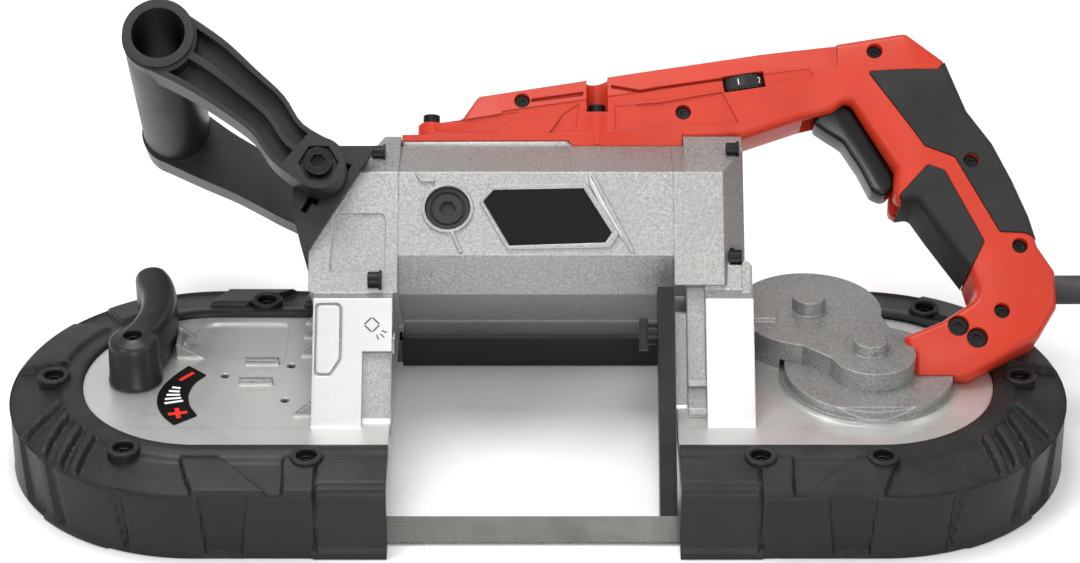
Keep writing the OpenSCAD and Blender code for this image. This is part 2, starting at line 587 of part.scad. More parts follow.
// Cover over the bevel gears, with two bearing bosses and a box boss
cover_z = 56;
boss_r = 8.3;
module cover_outline(wall) {
  translate([upright_x, shaft_2_y]) circle(36 - wall);
  translate([wheel_x + 1, -2]) circle(21 - wall);
  polygon([for (p = [[115, 17], [150, -15], [176, 8], [168, 40], [120, 45]]) p
    + wall * unit([upright_x + 12, 20] - p)]);
}
module gear_cover() color([0.76, 0.76, 0.75]) seated() difference() {
  union() {
    translate([0, 0, deck_z + 7]) linear_extrude(cover_z - deck_z - 7) cover_outline(0);
    translate([0, 0, deck_z]) linear_extrude(cover_z - deck_z) difference() {
      cover_outline(0);
      translate([wheel_x, 0]) circle(43.5 + 0.1);
    }
    translate([pad_right[1] + 0.1, shaft_2_y - 12, deck_z]) cube([18, 24, cover_z - deck_z]);
    translate([pad_right[1] + 0.1, 27, deck_z]) cube([14, 33, cover_z - deck_z + 2]);
    translate([upright_x, shaft_2_y, deck_z]) cylinder(r = boss_r, h = 63.5 - deck_z);
    translate([wheel_x, 0, deck_z + 7]) cylinder(r = boss_r, h = 62 - deck_z - 7);
  }
  translate([upright_x - 16, shaft_2_y - 12, deck_z - 1]) cube([28, 24, cover_z - deck_z - 2]);
  along_x(pad_right[1] - 1, upright_x) translate([shaft_2_y, shaft_2_z]) circle(6.2);
  translate([upright_x, shaft_2_y, 0]) cylinder(r = 5.5, h = 60.5);
  translate([wheel_x, 0, 0]) cylinder(r = axle_r + 0.8, h = 52);
  // Clear of the pad block and of the bumper's rim
  translate([0, -100, 0]) cube([pad_right[1] + 0.1, 200, 100]);
  linear_extrude(bumper_rim_z + fit) difference() {
    translate([wheel_x - 110, -110]) square(220);
    at_drive() half_stadium(deck_r, right_reach);
  }
}

// Plate that closes the gear room from below and holds the lower bearings
module gear_case_plate() color([0.6, 0.6, 0.6]) seated() difference() {
  translate([0, 0, gear_room_z[0] - 3]) linear_extrude(3) gear_room_outline(3);
  translate([wheel_x, 0, 0]) cylinder(r = axle_r + 0.5, h = 60);
  translate([upright_x, shaft_2_y, gear_room_z[0] - 2]) cylinder(r = 3 + run, h = 60);
}

// Cover on the throat side of the spur gears
module gear_side_cover() color([0.72, 0.72, 0.71]) seated() working_plane() difference() {
  intersection() {
    along_x(throat_right, bulkhead_x) polygon([[-4, 47], [housing_s0 - fit, 47], [housing_s0 - fit, -24],
      [66, -24], [28, 13]]);
    along_x(throat_right, bulkhead_x) union() {
      side_room_outline(4);
      translate([-4, 30]) square([60, 17]);
    }
  }
  along_x(bulkhead_x - 4.5, bulkhead_x + 1) translate(shaft_2) circle(4 + run);
  rotate([-tilt, 0, 0]) translate([0, -200, -100]) cube([200, 400, deck_z + 0.05 + 100]);
}

// Motor

field_x = [-26, 40];
module field_core() color([0.35, 0.33, 0.32]) seated() working_plane() {
  difference() {
    along_x(field_x[0], field_x[1]) translate(motor_axis) circle(housing_bore_r - 0.1);
    along_x(field_x[0] - 1, field_x[1] + 1) translate(motor_axis) circle(armature_r + 0.6);
    // Two slots that hold the coils
    for (a = [0, 180]) along_x(field_x[0] - 1, field_x[1] + 1) translate(motor_axis) rotate(a)
      translate([armature_r - 2, -11]) square([8, 22]);
  }
}

commutator_x = [-53, -35];
fan_x = [48, 58];
module armature() color([0.6, 0.45, 0.3]) seated() working_plane() {
  along_x(left_bearing_x, stage_1_x[0]) translate(motor_axis) circle(motor_shaft_r);
  along_x(stage_1_x[0] - 8, stage_1_x[1]) translate(motor_axis) rotate(aim_1)
    gear_outline(teeth_motor, module_1);
  // Slotted stack, winding heads, commutator and fan
  difference() {
    along_x(field_x[0] + 2, field_x[1] - 2) translate(motor_axis) circle(armature_r);
    for (k = [0 : 11]) along_x(field_x[0], field_x[1]) translate(motor_axis) rotate(k * 30)
      translate([armature_r - 2.5, -1.2]) square([5, 2.4]);
  }
  along_x(commutator_x[1] + 1, field_x[0] + 3) translate(motor_axis) circle(armature_r - 3);
  along_x(field_x[1] - 3, fan_x[0] - 2) translate(motor_axis) circle(armature_r - 3);
  difference() {
    along_x(commutator_x[0], commutator_x[1] + 2) translate(motor_axis) circle(commutator_r);
    for (k = [0 : 11]) along_x(commutator_x[0] - 1, commutator_x[1] - 1) translate(motor_axis)
      rotate(k * 30) translate([commutator_r - 0.8, -0.4]) square([2, 0.8]);
  }
  along_x(fan_x[0] - 3, fan_x[0]) translate(motor_axis) circle(30);
  along_x(fan_x[0] - 3, fan_x[1]) translate(motor_axis) circle(9);
  for (k = [0 : 11]) along_x(fan_x[0] - 0.5, fan_x[1] - 1) translate(motor_axis) rotate(k * 30)
    translate([8, -0.8]) square([21, 1.6]);
}

// Sealed ball bearing
module bearing(x0, w, bore_r, outer_r) {
  along_x(x0, x0 + w) difference() {
    circle(outer_r);
    circle(bore_r);
  }
}
module motor_bearings() color([0.7, 0.7, 0.72]) seated() working_plane() {
  translate([0, motor_s, motor_n]) bearing(left_bearing_x, 8, motor_shaft_r + run, 11 - run);
  translate([0, motor_s, motor_n]) bearing(62, 8, motor_shaft_r + run, 11 - run);
}

brush_size = [8, 6];
module brush_holders() color([0.75, 0.6, 0.3]) seated() working_plane() brush_axis() difference() {
  translate([0, 0, commutator_r + 2.5]) cylinder(r = 7.5, h = housing_half - 6 - commutator_r - 2.5);
  translate([-brush_size.x / 2 - run, -brush_size.y / 2 - run, 0])
    cube([brush_size.x + 2 * run, brush_size.y + 2 * run, 60]);
}
module carbon_brushes() color([0.15, 0.15, 0.15]) seated() working_plane() brush_axis()
  translate([-brush_size.x / 2, -brush_size.y / 2, commutator_r + fit])
    cube([brush_size.x, brush_size.y, 12]);
module brush_caps() color([0.12, 0.12, 0.12]) seated() working_plane() brush_axis() difference() {
  union() {
    translate([0, 0, housing_half - 6]) cylinder(r = 7.5, h = 4);
    translate([0, 0, housing_half - 4.4]) cylinder(r = 10.9, h = 3.6);
  }
  translate([0, 0, housing_half - 3]) cylinder(r = 4.1, h = 5, $fn = 6);
  translate([0, 0, housing_half - 1.6]) difference() {
    cylinder(r = 8.6, h = 2);
    cylinder(r = 7.6, h = 2);
  }
}

// Gears and shafts

module first_gear_shaft() color([0.55, 0.55, 0.58]) seated() working_plane() {
  along_x(bulkhead_x - 4, stage_1_x[1] + 6) translate(shaft_1) circle(3);
  along_x(stage_1_x[0], stage_1_x[1]) translate(shaft_1) rotate(gap_turn(aim_1, teeth_1))
    gear_outline(teeth_1, module_1);
  along_x(stage_2_x[0], stage_2_x[1] + 1) translate(shaft_1) rotate(aim_2)
    gear_outline(teeth_1_small, module_2);
}

// Straight bevel gear with its wide face on z = 0
module bevel_gear() difference() {
  linear_extrude(bevel_r / 2, scale = 0.5) gear_outline(teeth_bevel, module_3, 0.25);
  translate([0, 0, -1]) cylinder(r = 1.5, h = 1.2);
}

module second_gear_shaft() color([0.55, 0.55, 0.58]) seated() {
  working_plane() along_x(bulkhead_x - 4, upright_x - bevel_r + 0.01) translate(shaft_2) circle(4);
  working_plane() along_x(stage_2_x[0], stage_2_x[1]) translate(shaft_2)
    rotate(gap_turn(aim_2, teeth_2)) gear_outline(teeth_2, module_2);
  translate([upright_x - bevel_r, shaft_2_y, shaft_2_z]) rotate([0, 90, 0])
    rotate(180 / teeth_bevel) bevel_gear();
}

module upright_shaft() color([0.55, 0.55, 0.58]) seated() translate([upright_x, shaft_2_y, 0]) {
  translate([0, 0, gear_room_z[0] - 1.9]) cylinder(r = 3, h = 60 - gear_room_z[0] + 1.9);
  translate([0, 0, drive_gear_z]) linear_extrude(drive_gear_w)
    rotate(gap_turn(aim_4, teeth_pinion)) gear_outline(teeth_pinion, module_4);
  translate([0, 0, shaft_2_z + bevel_r]) rotate([180, 0, 0]) bevel_gear();
  translate([0, 0, shaft_2_z + bevel_r]) cylinder(r = 5, h = 3);
}

module drive_shaft() color([0.6, 0.6, 0.63]) seated() translate([wheel_x, 0, 0]) {
  translate([0, 0, wheel_z0 - 1]) cylinder(r = axle_r, h = 51 - wheel_z0 + 1);
  translate([0, 0, drive_gear_z]) linear_extrude(drive_gear_w) rotate(aim_4)
    difference() {
      gear_outline(teeth_drive, module_4);
      for (k = [0 : 5]) rotate(k * 60 + 30) translate([23, 0]) circle(7);
    }
  translate([0, 0, gear_room_z[0] + fit]) cylinder(r = 10, h = drive_gear_w + 1.2);
}

module shaft_bearings() color([0.7, 0.7, 0.72]) seated() {
  translate([wheel_x, 0, gear_room_z[1] + 0.3]) difference() {
    cylinder(r = 13 - run, h = 8);
    translate([0, 0, -1]) cylinder(r = axle_r + run, h = 12);
  }
  translate([upright_x, shaft_2_y, 54]) difference() {
    cylinder(r = 5.5 - run, h = 4);
    translate([0, 0, -1]) cylinder(r = 3 + run, h = 12);
  }
  working_plane() translate([0, shaft_1.x, shaft_1.y]) bearing(stage_1_x[1] + 0.5, 5, 3 + run, 6 - run);
  along_x(110, 116) translate([shaft_2_y, shaft_2_z]) difference() {
    circle(6.2 - run);
    circle(4 + run);
  }
}

// Spoked wheel about the origin, between its rim and its hub
module wheel(bore_r) difference() {
  union() {
    translate([0, 0, wheel_z0]) linear_extrude(wheel_w) difference() {
      circle(wheel_r, $fn = 128);
      circle(wheel_r - 7, $fn = 128);
    }
    translate([0, 0, wheel_z0 + 3]) cylinder(r = wheel_r - 6, h = 4);
    translate([0, 0, wheel_z0]) cylinder(r = 15, h = wheel_w);
    for (k = [0 : 5]) rotate(k * 60) translate([12, -2, wheel_z0 + 1]) cube([wheel_r - 18, 4, wheel_w - 3]);
  }
  for (k = [0 : 5]) rotate(k * 60 + 30) translate([42, 0, 0]) cylinder(r = 15, h = 30);
  translate([0, 0, -1]) cylinder(r = bore_r, h = 40);
}
module tyre() translate([0, 0, wheel_z0]) difference() {
  cylinder(r = tyre_r, h = wheel_w, $fn = 128);
  translate([0, 0, -1]) cylinder(r = wheel_r, h = wheel_w + 2, $fn = 128);
}
module drive_wheel() color([0.6, 0.6, 0.6]) seated() translate([wheel_x, 0, 0]) wheel(axle_r);
module drive_tyre() color([0.15, 0.15, 0.15]) seated() translate([wheel_x, 0, 0]) tyre();
module idler_wheel() color([0.6, 0.6, 0.6]) seated() translate([-wheel_x, 0, 0]) wheel(axle_r + run);
module idler_tyre() color([0.15, 0.15, 0.15]) seated() translate([-wheel_x, 0, 0]) tyre();

// Blade tension: a sliding block carries the idler axle and a cam on the lever draws it back

lever_x = -196;
lever_shaft_r = 4.5;
cam_r = 8;
cam_throw = 3;
cam_gap = 0.9;
slide_w = 30;
slide_x = [lever_x + cam_r - cam_throw + cam_gap, -140];
slide_z = [flange_z - 8, flange_z - 0.3];

slide_travel = 2 * cam_throw;
spring_y = 8;
spring_r = 2.7;
spring_x = [slide_x[1] - 12, -124.3];
spring_wire_r = 0.5;
module tension_slide() color([0.65, 0.65, 0.67]) seated() {
  difference() {
    translate([slide_x[0], -slide_w / 2, slide_z[0]])
      cube([slide_x[1] - slide_x[0], slide_w, slide_z[1] - slide_z[0]]);
    for (y = [-spring_y, spring_y]) along_x(spring_x[0] - slide_travel - 0.5, slide_x[1] + 1)
      translate([y, (slide_z[0] + slide_z[1]) / 2]) circle(spring_r + fit);
  }
  translate([-wheel_x, 0, 0]) {
    translate([0, 0, wheel_z0 - 0.5]) cylinder(r = axle_r, h = slide_z[0] - wheel_z0 + 1);
    translate([0, 0, wheel_z0 - 1.3]) cylinder(r = axle_r + 3, h = 1.1);
    translate([0, 0, wheel_z0 + wheel_w + 0.3])
      cylinder(r = axle_r + 3, h = slide_z[0] - wheel_z0 - wheel_w - 0.2);
  }
}
module slide_keepers() color([0.6, 0.6, 0.6]) seated() for (side = [-1, 1])
  translate([-188, side * (slide_w / 2 + 2.6) - 7, flange_z - 10.6]) cube([46, 14, 2]);

// Both springs are drawn pressed, as when the lever has drawn the block back
module tension_springs() color([0.5, 0.5, 0.52]) seated() for (y = [-spring_y, spring_y]) {
  turns = 8;
  steps = 12;
  coil_length = spring_x[1] - spring_x[0] - 2 * spring_wire_r;
  tube([for (i = [0 : turns * steps]) let (a = i * 360 / steps)
    [spring_x[0] + spring_wire_r + coil_length * i / (turns * steps),
      y + (spring_r - spring_wire_r) * cos(a),
      (slide_z[0] + slide_z[1]) / 2 + (spring_r - spring_wire_r) * sin(a)]], spring_wire_r, 6);
}

// C shaped lever about its upright shaft
lever_arc = [-254.8, 33.5, 67];
module tension_lever() color([0.25, 0.25, 0.25]) seated() difference() {
  union() {
    translate([lever_x, 0, deck_z + 0.8]) cylinder(r = 12.5, h = 23);
    translate([lever_arc.x, lever_arc.y, deck_z + 4]) rotate(-29) rotate_extrude(angle = 59, $fn = 128)
      polygon([[59, 0], [75.5, 0], [75.5, 18.5], [72, 21.5], [62, 21.5], [59, 18.5]]);
    translate([-197.5, 66, deck_z + 4]) cylinder(r = 8.2, h = 20.5);
    translate([lever_x, 0, slide_z[0] + 0.2]) cylinder(r = lever_shaft_r, h = 30);
    translate([lever_x - cam_throw, 0, slide_z[0]]) cylinder(r = cam_r, h = 7);
  }
  translate([lever_x, 0, deck_z + 20]) cylinder(r = 4.6, h = 10);
  translate([lever_x, 0, deck_z + 5]) cylinder(r = 2.5, h = 30);
  // Grip slot in the end of the lever
  translate([-197.5, 69, deck_z + 14]) cube([2.4, 20, 12], center = true);
}
module lever_screw() color([0.1, 0.1, 0.1]) seated() translate([lever_x, 0, deck_z + 20])
  cap_screw(4.3, 3, 2.4, 14);

module tension_mark() color([0.05, 0.05, 0.05]) seated() translate([-151, -12.4, deck_z])
  linear_extrude(0.5) difference() {
    intersection() {
      circle(30.6);
      polygon([[0, 0], [-60, 32], [-70, 0], [-60, -50], [-32, -50]]);
    }
    circle(16.3);
  }

// Saw blade: one closed band, turned into the working plane between the guides

loop_l = 2 * wheel_span + 2 * PI * blade_r;
teeth_blade = round(loop_l / tooth_pitch);
twist_x = 74;
function blade_frame(l) = let (
    half_turn = PI * blade_r,
    on_front = l < wheel_span,
    on_right = l >= wheel_span && l < wheel_span + half_turn,
    on_back = l >= wheel_span + half_turn && l < 2 * wheel_span + half_turn,
    x = on_front ? l - wheel_x : on_back ? wheel_x - (l - wheel_span - half_turn) : 0,
    a = on_front ? 0 : on_right ? (l - wheel_span) / blade_r * 180 / PI : on_back ? 180
      : 180 + (l - 2 * wheel_span - half_turn) / blade_r * 180 / PI,
    out = [sin(a), -cos(a), 0],
    middle = on_front ? [x, -blade_r, 0] : on_back ? [x, blade_r, 0]
      : [on_right ? wheel_x : -wheel_x, 0, 0] + blade_r * out,
    share = on_front ? smooth((wheel_x - 12 - abs(x)) / (wheel_x - 12 - twist_x)) : 0,
    lean = tilt * share,
    down = out * sin(lean) - [0, 0, cos(lean)])
  [middle + [0, 0, blade_z] + blade_drop * share * down, down, out * cos(lean) + [0, 0, sin(lean)]];

module saw_blade() color([0.55, 0.55, 0.53]) seated() {
  ring = [for (k = [0 : teeth_blade - 1], tip = [1, 0]) let (
      f = blade_frame((k + (tip == 1 ? 0 : 0.35)) * loop_l / teeth_blade),
      edge = blade_w / 2 - (tip == 1 ? 0 : tooth_h))
    each [for (c = [[-blade_w / 2, -1], [-blade_w / 2, 1], [edge, 1], [edge, -1]])
      f[0] + f[1] * c[0] + f[2] * c[1] * blade_t / 2]];
  k = len(ring) / 4;
  polyhedron(ring, [for (i = [0 : k - 1], j = [0 : 3]) let (
      a = 4 * i + j,
      b = 4 * i + (j + 1) % 4,
      c = (4 * (i + 1)) % (4 * k) + (j + 1) % 4,
      d = (4 * (i + 1)) % (4 * k) + j)
    each [[a, b, c], [a, c, d]]], convexity = 10);
}

// Blade guides at both ends of the throat: a block behind the blade and a roller at each face

guide_s = blade_s + blade_w / 2 + fit;
guide_n = [52, 68.4];
roller_r = 4;
roller_pin_r = 1.5;
roller_gap = 0.1;
roller_s = [blade_s + 0.8, guide_s - 0.6];
roller_off = blade_t / 2 + roller_gap + roller_r;
left_guide_x = [-94, -74];
right_guide_x = [72, 92];

// The guide is bolted up against the flange of the wheel guard
module blade_guide(x) color([0.3, 0.3, 0.3]) seated() working_plane() {
  top = (flange_z - 0.35) * root2;
  along_x(x[0], x[1]) polygon([[guide_s, guide_n[0]], [guide_s, guide_n[1]],
    [top - guide_n[1], guide_n[1]], [top - guide_n[0], guide_n[0]]]);
  for (side = [-1, 1]) translate([(x[0] + x[1]) / 2, roller_s[0], blade_n + side * roller_off])
    rotate([-90, 0, 0]) cylinder(r = roller_pin_r, h = guide_s - roller_s[0] + 1);
}
module left_blade_guide() blade_guide(left_guide_x);
module right_blade_guide() blade_guide(right_guide_x);

// One guide roller, on the side of the blade that faces the operator or on the other
module guide_roller(x, side) color([0.7, 0.7, 0.72]) seated() working_plane()
  translate([(x[0] + x[1]) / 2, roller_s[0], blade_n + side * roller_off])
  rotate([-90, 0, 0]) difference() {
    cylinder(r = roller_r, h = roller_s[1] - roller_s[0]);
    translate([0, 0, -1]) cylinder(r = roller_pin_r + run, h = 20);
  }
module left_front_roller() guide_roller(left_guide_x, 1);
module left_rear_roller() guide_roller(left_guide_x, -1);
module right_front_roller() guide_roller(right_guide_x, 1);
module right_rear_roller() guide_roller(right_guide_x, -1);

// Work stop: a plate that slides up the throat wall and is held by a clamp screw

stop_x = [57.6, throat_right - fit];
stop_n = [45.5, 59];
stop_s = [blade_s + 1, housing_s0 - 2];
stop_travel = 8;
stop_screw = [44, 52];
// The slanted lower end stays clear of the table
stop_low = 1.2;
module work_stop() color([0.1, 0.1, 0.1]) seated() working_plane() difference() {
  along_x(stop_x[0], stop_x[1]) polygon([[stop_low - stop_n[0], stop_n[0]], [stop_s[1], stop_n[0]],
    [stop_s[1], stop_n[1]], [stop_s[0], stop_n[1]], [stop_s[0], stop_low - stop_s[0]]]);
  // Slot of the clamp screw
  along_x(stop_x[0] - 1, stop_x[1] + 1) link(stop_screw - [stop_travel, 0], 2.2, stop_screw, 2.2);
}
module work_stop_screw() color([0.1, 0.1, 0.1]) seated() working_plane() {
  along_x(stop_x[0] - 5, stop_x[0] - 0.05) translate(stop_screw) circle(5);
  translate([stop_x[0] - 9, stop_screw.x - 8, stop_screw.y - 1]) cube([4.5, 16, 2]);
  along_x(stop_x[0] - 5, throat_right - 0.02) translate(stop_screw) circle(2);
}

// Rear handle: two shells that meet on the middle plane of the motor, with moulded grips

// The body over the motor is thinner than the grip and swells towards it
swell_x = [140, 185];
function half_at(x) = body_half + (handle_half - body_half) * max(0, min(1, (x - swell_x[0])
  / (swell_x[1] - swell_x[0])));
handle_slope = 8.7;
module handle_outline() polygon(rounded([
  [-55, housing_s1 + fit, 0.5], [-55, 158.5, 3], [-38, 161, 4], [-30, 173, 3], [51, 186, 3],
  [113, 195.6, 3], [184, 204.5, 6], [203, 189.5, 4], [213, 163, 12], [225, 146, 12],
  [234, 127, 12], [241.5, 108, 8], [245.5, 93, 5], [253.5, 80, 4], [253.5, 62, 4], [244, 46.5, 3],
  [209, 25, 2], [181.7, 25, 1], [182, 37.4, 1], [176.5, 46.9, 1], [197, 55, 6], [215.5, 67, 8],
  [211.8, 80.3, 8], [195, 104, 8], [186.5, 117, 3], [178, 114.5, 2], [174, 118, 2],
  [177, 133, 2], [155, 171, 3], [147, 164.5, 2], [131, 160.6, 4], [102, cap_s1 + fit, 2],
  [flange_x[1] + 0.1, cap_s1 + fit, 0.4], [flange_x[1], housing_s1 + fit, 0.5]]));

// Regions of the rubber: along the back of the grip and at its front
module rear_grip_region() polygon([[164.5, 184.2], [191.4, 143.8], [206.1, 138], [226.7, 99.4],
  [238.4, 98.9], [244.6, 96], [262, 110], [250, 150], [222, 182], [202, 187], [199.5, 184.2]]);
module front_grip_region() polygon([[192.6, 134.4], [180, 118.5], [186, 110], [207, 74],
  [211.7, 80], [219.1, 94.8], [200.9, 131.3]]);
module grip_regions() {
  rear_grip_region();
  front_grip_region();
}

// Half of the handle's outer form, from the middle plane to height h, with rounded edges
module half_form(h, inset = 0) {
  edges = [[h - 4, 0], [h - 2.4, 0.5], [h - 1, 1.4], [h - 0.2, 2.8]];
  for (e = edges) linear_extrude(e[0]) offset(delta = -e[1] - inset) handle_outline();
}

// Limits the thickness along x, with a slanted face where the body swells
module swell(extra = 0) rotate([-90, 0, 0]) translate([0, 0, -100]) linear_extrude(400) polygon([
  [-90, 1], [-90, -body_half - extra], [swell_x[0], -body_half - extra], [swell_x[1], -handle_half - extra],
  [300, -handle_half - extra], [300, 1]]);

// Room that the foot leaves for the deck, the disc over the drive gear and the gear cover
module below_foot() {
  translate([100, -60, -60]) cube([200, 200, deck_z + 0.1 + 60]);
  translate([wheel_x, 0, 0]) cylinder(r = 43.5 + fit, h = deck_z + 2.2);
  translate([wheel_x, 0, 0]) cylinder(r = 41 + fit, h = deck_z + 7.2);
  linear_extrude(cover_z + 0.3) offset(r = 0.4) cover_outline(0);
  at_drive() translate([-35, 66, 0]) cylinder(r = 8.2, h = bumper_rim_z + 2);
  translate([wheel_x, 0, -1]) linear_extrude(bumper_rim_z + 1.4) difference() {
    square([220, 220], center = true);
    circle(deck_r + 0.1);
  }
}

handle_screw_places = [[-8, 170.2], [72.5, 164.2], [168.4, 194.6], [214, 136.3], [236.3, 92.5],
  [226.1, 59.5]];
foot_screw_places = [[204.6, 51.9], [213.6, 45.9]];
// Flange screws as x, n and the height and radius of their boss
near_flange_screws = [[-53.3, 25, 13.7, 6.7], [29.5, 25, 18.9, 8.4]];
far_flange_screws = [for (p = near_flange_screws) [p[0], 2 * motor_n - p[1] - 2, p[2], p[3]]];
flange_screw_places = concat(near_flange_screws, far_flange_screws);
flange_screw_r = 2;
flange_screw_depth = 5.6;
trigger_pivot = [146, 168];
pin_r = 1.5;
pin_half = 12;
module switch_block(play) translate([194, 152, motor_n]) rotate(-58)
  translate([-13 - play, -8 - play, -8.5 - play]) cube([26 + 2 * play, 14 + 2 * play, 17 + 2 * play]);
dial_place = [103, 180];
dial_proud = 1;
dial_n = motor_n + body_half + dial_proud - dial_r;

// What both shells leave free: switch room, trigger, dial, screws and cord
module handle_rooms() {
  // Long hollow of the body and the grip
  along_n(motor_n - body_half + 3, motor_n + body_half - 3) polygon(rounded([[-24, 162, 3], [-24, 169, 3],
    [112, 188, 3], [150, 192, 4], [150, 176, 3], [140, 167.5, 4], [98, 156, 3]]));
  along_n(motor_n - handle_half + 4, motor_n + handle_half - 4) polygon(rounded([[176, 176, 3],
    [180, 184, 4], [206, 146, 6], [218, 128, 4], [232, 98, 4], [219, 88, 4], [198, 124, 4]]));
  along_n(motor_n - body_half + 3, motor_n + body_half - 3) polygon([[145, 174], [145, 188], [182, 188],
    [190, 160]]);
  // Way of the trigger into the grip
  along_n(motor_n - trigger_w / 2 - 0.5, motor_n + trigger_w / 2 + 0.5) polygon([
    [128, 152], [139, 176], [152, 180], [190, 150], [189, 125], [175, 112], [160, 128]]);
  // Dial window
  translate([dial_place.x, dial_place.y, 0]) rotate(handle_slope)
    translate([-10.5, -4.3, motor_n]) cube([21, 8.6, 40]);
  translate([dial_place.x, dial_place.y, dial_n])
    rotate(handle_slope) rotate([90, 0, 0]) cylinder(r = dial_r + 0.7, h = 8.6, center = true);
  // Seats of the switch and the trigger's pin
  switch_block(fit);
  translate([trigger_pivot.x, trigger_pivot.y, motor_n - pin_half - 0.2])
    cylinder(r = pin_r + run, h = 2 * pin_half + 0.4);
  // Cord channel
  along_x(225, 260) translate([cord_s, motor_n]) circle(cord_boot_r + run);
  // Screws
  for (p = handle_screw_places) translate([p.x, p.y, motor_n]) {
    translate([0, 0, half_at(p.x) - 22]) cylinder(r = 1.75, h = 40);
    translate([0, 0, half_at(p.x) - 6]) cylinder(r = 3.9, h = 20);
  }
  for (p = foot_screw_places) translate([p.x, p.y, 0]) {
    cylinder(r = 2.55, h = 60);
    translate([0, 0, motor_n + handle_half - 6]) cylinder(r = 5.2, h = 10);
  }
  // Seats of the flange screws
  for (p = flange_screw_places) translate([p[0], housing_s1, p[1]]) rotate([-90, 0, 0]) {
    translate([0, 0, -1]) cylinder(r = flange_screw_r + run, h = 40);
    translate([0, 0, p[2]]) cylinder(r = 5, h = 60);
  }
}

module shell_half(side) color([0.86, 0.24, 0.17]) seated() difference() {
  working_plane() difference() {
    union() {
      translate([0, 0, motor_n]) mirror([0, 0, side < 0 ? 1 : 0]) difference() {
        intersection() {
          union() {
            half_form(body_half);
            intersection() {
              half_form(handle_half);
              translate([swell_x[0], 0, -1]) cube([200, 300, handle_half + 2]);
            }
          }
          swell();
        }
        // Seat of the rubber
        difference() {
          translate([0, 0, -1]) linear_extrude(handle_half + 2) grip_regions();
          half_form(handle_half - 1.8, 1.8);
        }
        // Long flute along the body
        translate([0, 0, body_half - 0.8]) linear_extrude(5) polygon([[-20, 165], [110, 184],
          [138, 187.5], [140, 182], [112, 178], [50, 168.5], [46, 163], [-20, 158]]);
      }
      // Flange on the motor housing and the bosses of its screws
      translate([flange_x[0], housing_s1 + fit, side > 0 ? motor_n : flange_n[0]])
        cube([flange_x[1] - flange_x[0], cap_s1 - housing_s1, side > 0 ? flange_n[1] - motor_n
          : motor_n - flange_n[0]]);
      intersection() {
        for (p = side > 0 ? near_flange_screws : far_flange_screws)
          translate([p[0], housing_s1 + fit, p[1]]) rotate([-90, 0, 0]) cylinder(r = p[3], h = p[2] - fit);
        translate([-90, 100, side > 0 ? motor_n : motor_n - 50]) cube([200, 100, 50]);
      }
    }
    handle_rooms();
  }
  below_foot();
}
module near_handle_shell() shell_half(1);
module far_handle_shell() shell_half(-1);

module grip_half(side) color([0.24, 0.24, 0.24]) seated() working_plane() translate([0, 0, motor_n])
  mirror([0, 0, side < 0 ? 1 : 0]) difference() {
    intersection() {
      half_form(handle_half + 0.5, -0.5);
      linear_extrude(handle_half + 2) offset(delta = -0.1) grip_regions();
      swell(0.5);
    }
    translate([0, 0, -0.5]) half_form(handle_half - 1.3, 1.75);
    for (p = handle_screw_places) translate([p.x, p.y, -1]) cylinder(r = 3.9, h = 40);
    translate([0, 0, -1]) linear_extrude(trigger_w / 2 + 1.5) polygon([[128, 152], [139, 176],
      [152, 180], [190, 150], [189, 125], [175, 112], [160, 128]]);
  }
module near_grip() grip_half(1);
module far_grip() grip_half(-1);

// Trigger: a paddle on a pin at its upper end
module trigger() color([0.08, 0.08, 0.08]) seated() working_plane() difference() {
  translate([0, 0, motor_n - trigger_w / 2]) linear_extrude(trigger_w) polygon(rounded([
    [143, 172, 3], [137.5, 160, 3], [143, 156, 3], [152, 150, 8], [160, 137, 6], [166, 124.5, 3],
    [172.5, 121.5, 4], [177.5, 127, 3], [176, 134, 3], [157, 167, 4], [150, 172, 3]]));
  translate([trigger_pivot.x, trigger_pivot.y, 0]) cylinder(r = pin_r + run, h = 60);
}
module trigger_pin() color([0.6, 0.6, 0.62]) seated() working_plane()
  translate([trigger_pivot.x, trigger_pivot.y, motor_n - pin_half]) cylinder(r = pin_r, h = 2 * pin_half);
module switch_body() color([0.12, 0.12, 0.12]) seated() working_plane() switch_block(0);

module speed_dial() color([0.07, 0.07, 0.07]) seated() working_plane()
  translate([dial_place.x, dial_place.y, dial_n])
  rotate(handle_slope) rotate([90, 0, 0]) difference() {
    cylinder(r = dial_r, h = 7.6, center = true);
    // Finger notches round the rim
    for (k = [0 : 17]) rotate(k * 20) translate([dial_r + 0.6, 0, 0])
      cylinder(r = 1.4, h = 10, center = true);
    cylinder(r = 2.5, h = 20, center = true);
  }

module handle_screws() color([0.1, 0.1, 0.1]) seated() working_plane() {
  for (p = handle_screw_places) translate([p.x, p.y, motor_n + half_at(p.x) - 6])
    cap_screw(3.4, 2.4, 1.7, 15);
  for (p = foot_screw_places) translate([p.x, p.y, motor_n + handle_half - 6])
    cap_screw(4.7, 3.4, 2.5, 20);
}
module flange_screws() color([0.1, 0.1, 0.1]) seated() working_plane() for (p = flange_screw_places)
  translate([p[0], housing_s1 + p[2], p[1]]) rotate([-90, 0, 0])
    cap_screw(4.2, 4.6, flange_screw_r, p[2] + flange_screw_depth - 0.4);

// Front handle: two arms that carry a hollow cross grip, over a wedge on the end cap

front_bolt = [-105.4, 122.5];
front_bolt_r = 4;
arm_near = [60, 78];
arm_far = [-50, -32];

// Slanted rod between the two arms, cut flat at both ends
module grip_rod(r, extra) {
  run_n = grip_n[1] - grip_n[0];
  run_xs = grip_top - grip_far;
  intersection() {
    translate([grip_far.x, grip_far.y, grip_n[0]])
      rotate([0, atan2(norm(run_xs), run_n), atan2(run_xs.y, run_xs.x)]) rotate(35)
      translate([0, 0, -20]) cylinder(r = r, h = norm([run_n, norm(run_xs)]) + 40);
    along_n(grip_n[0] - extra, grip_n[1] + extra) square(1000, center = true);
  }
}
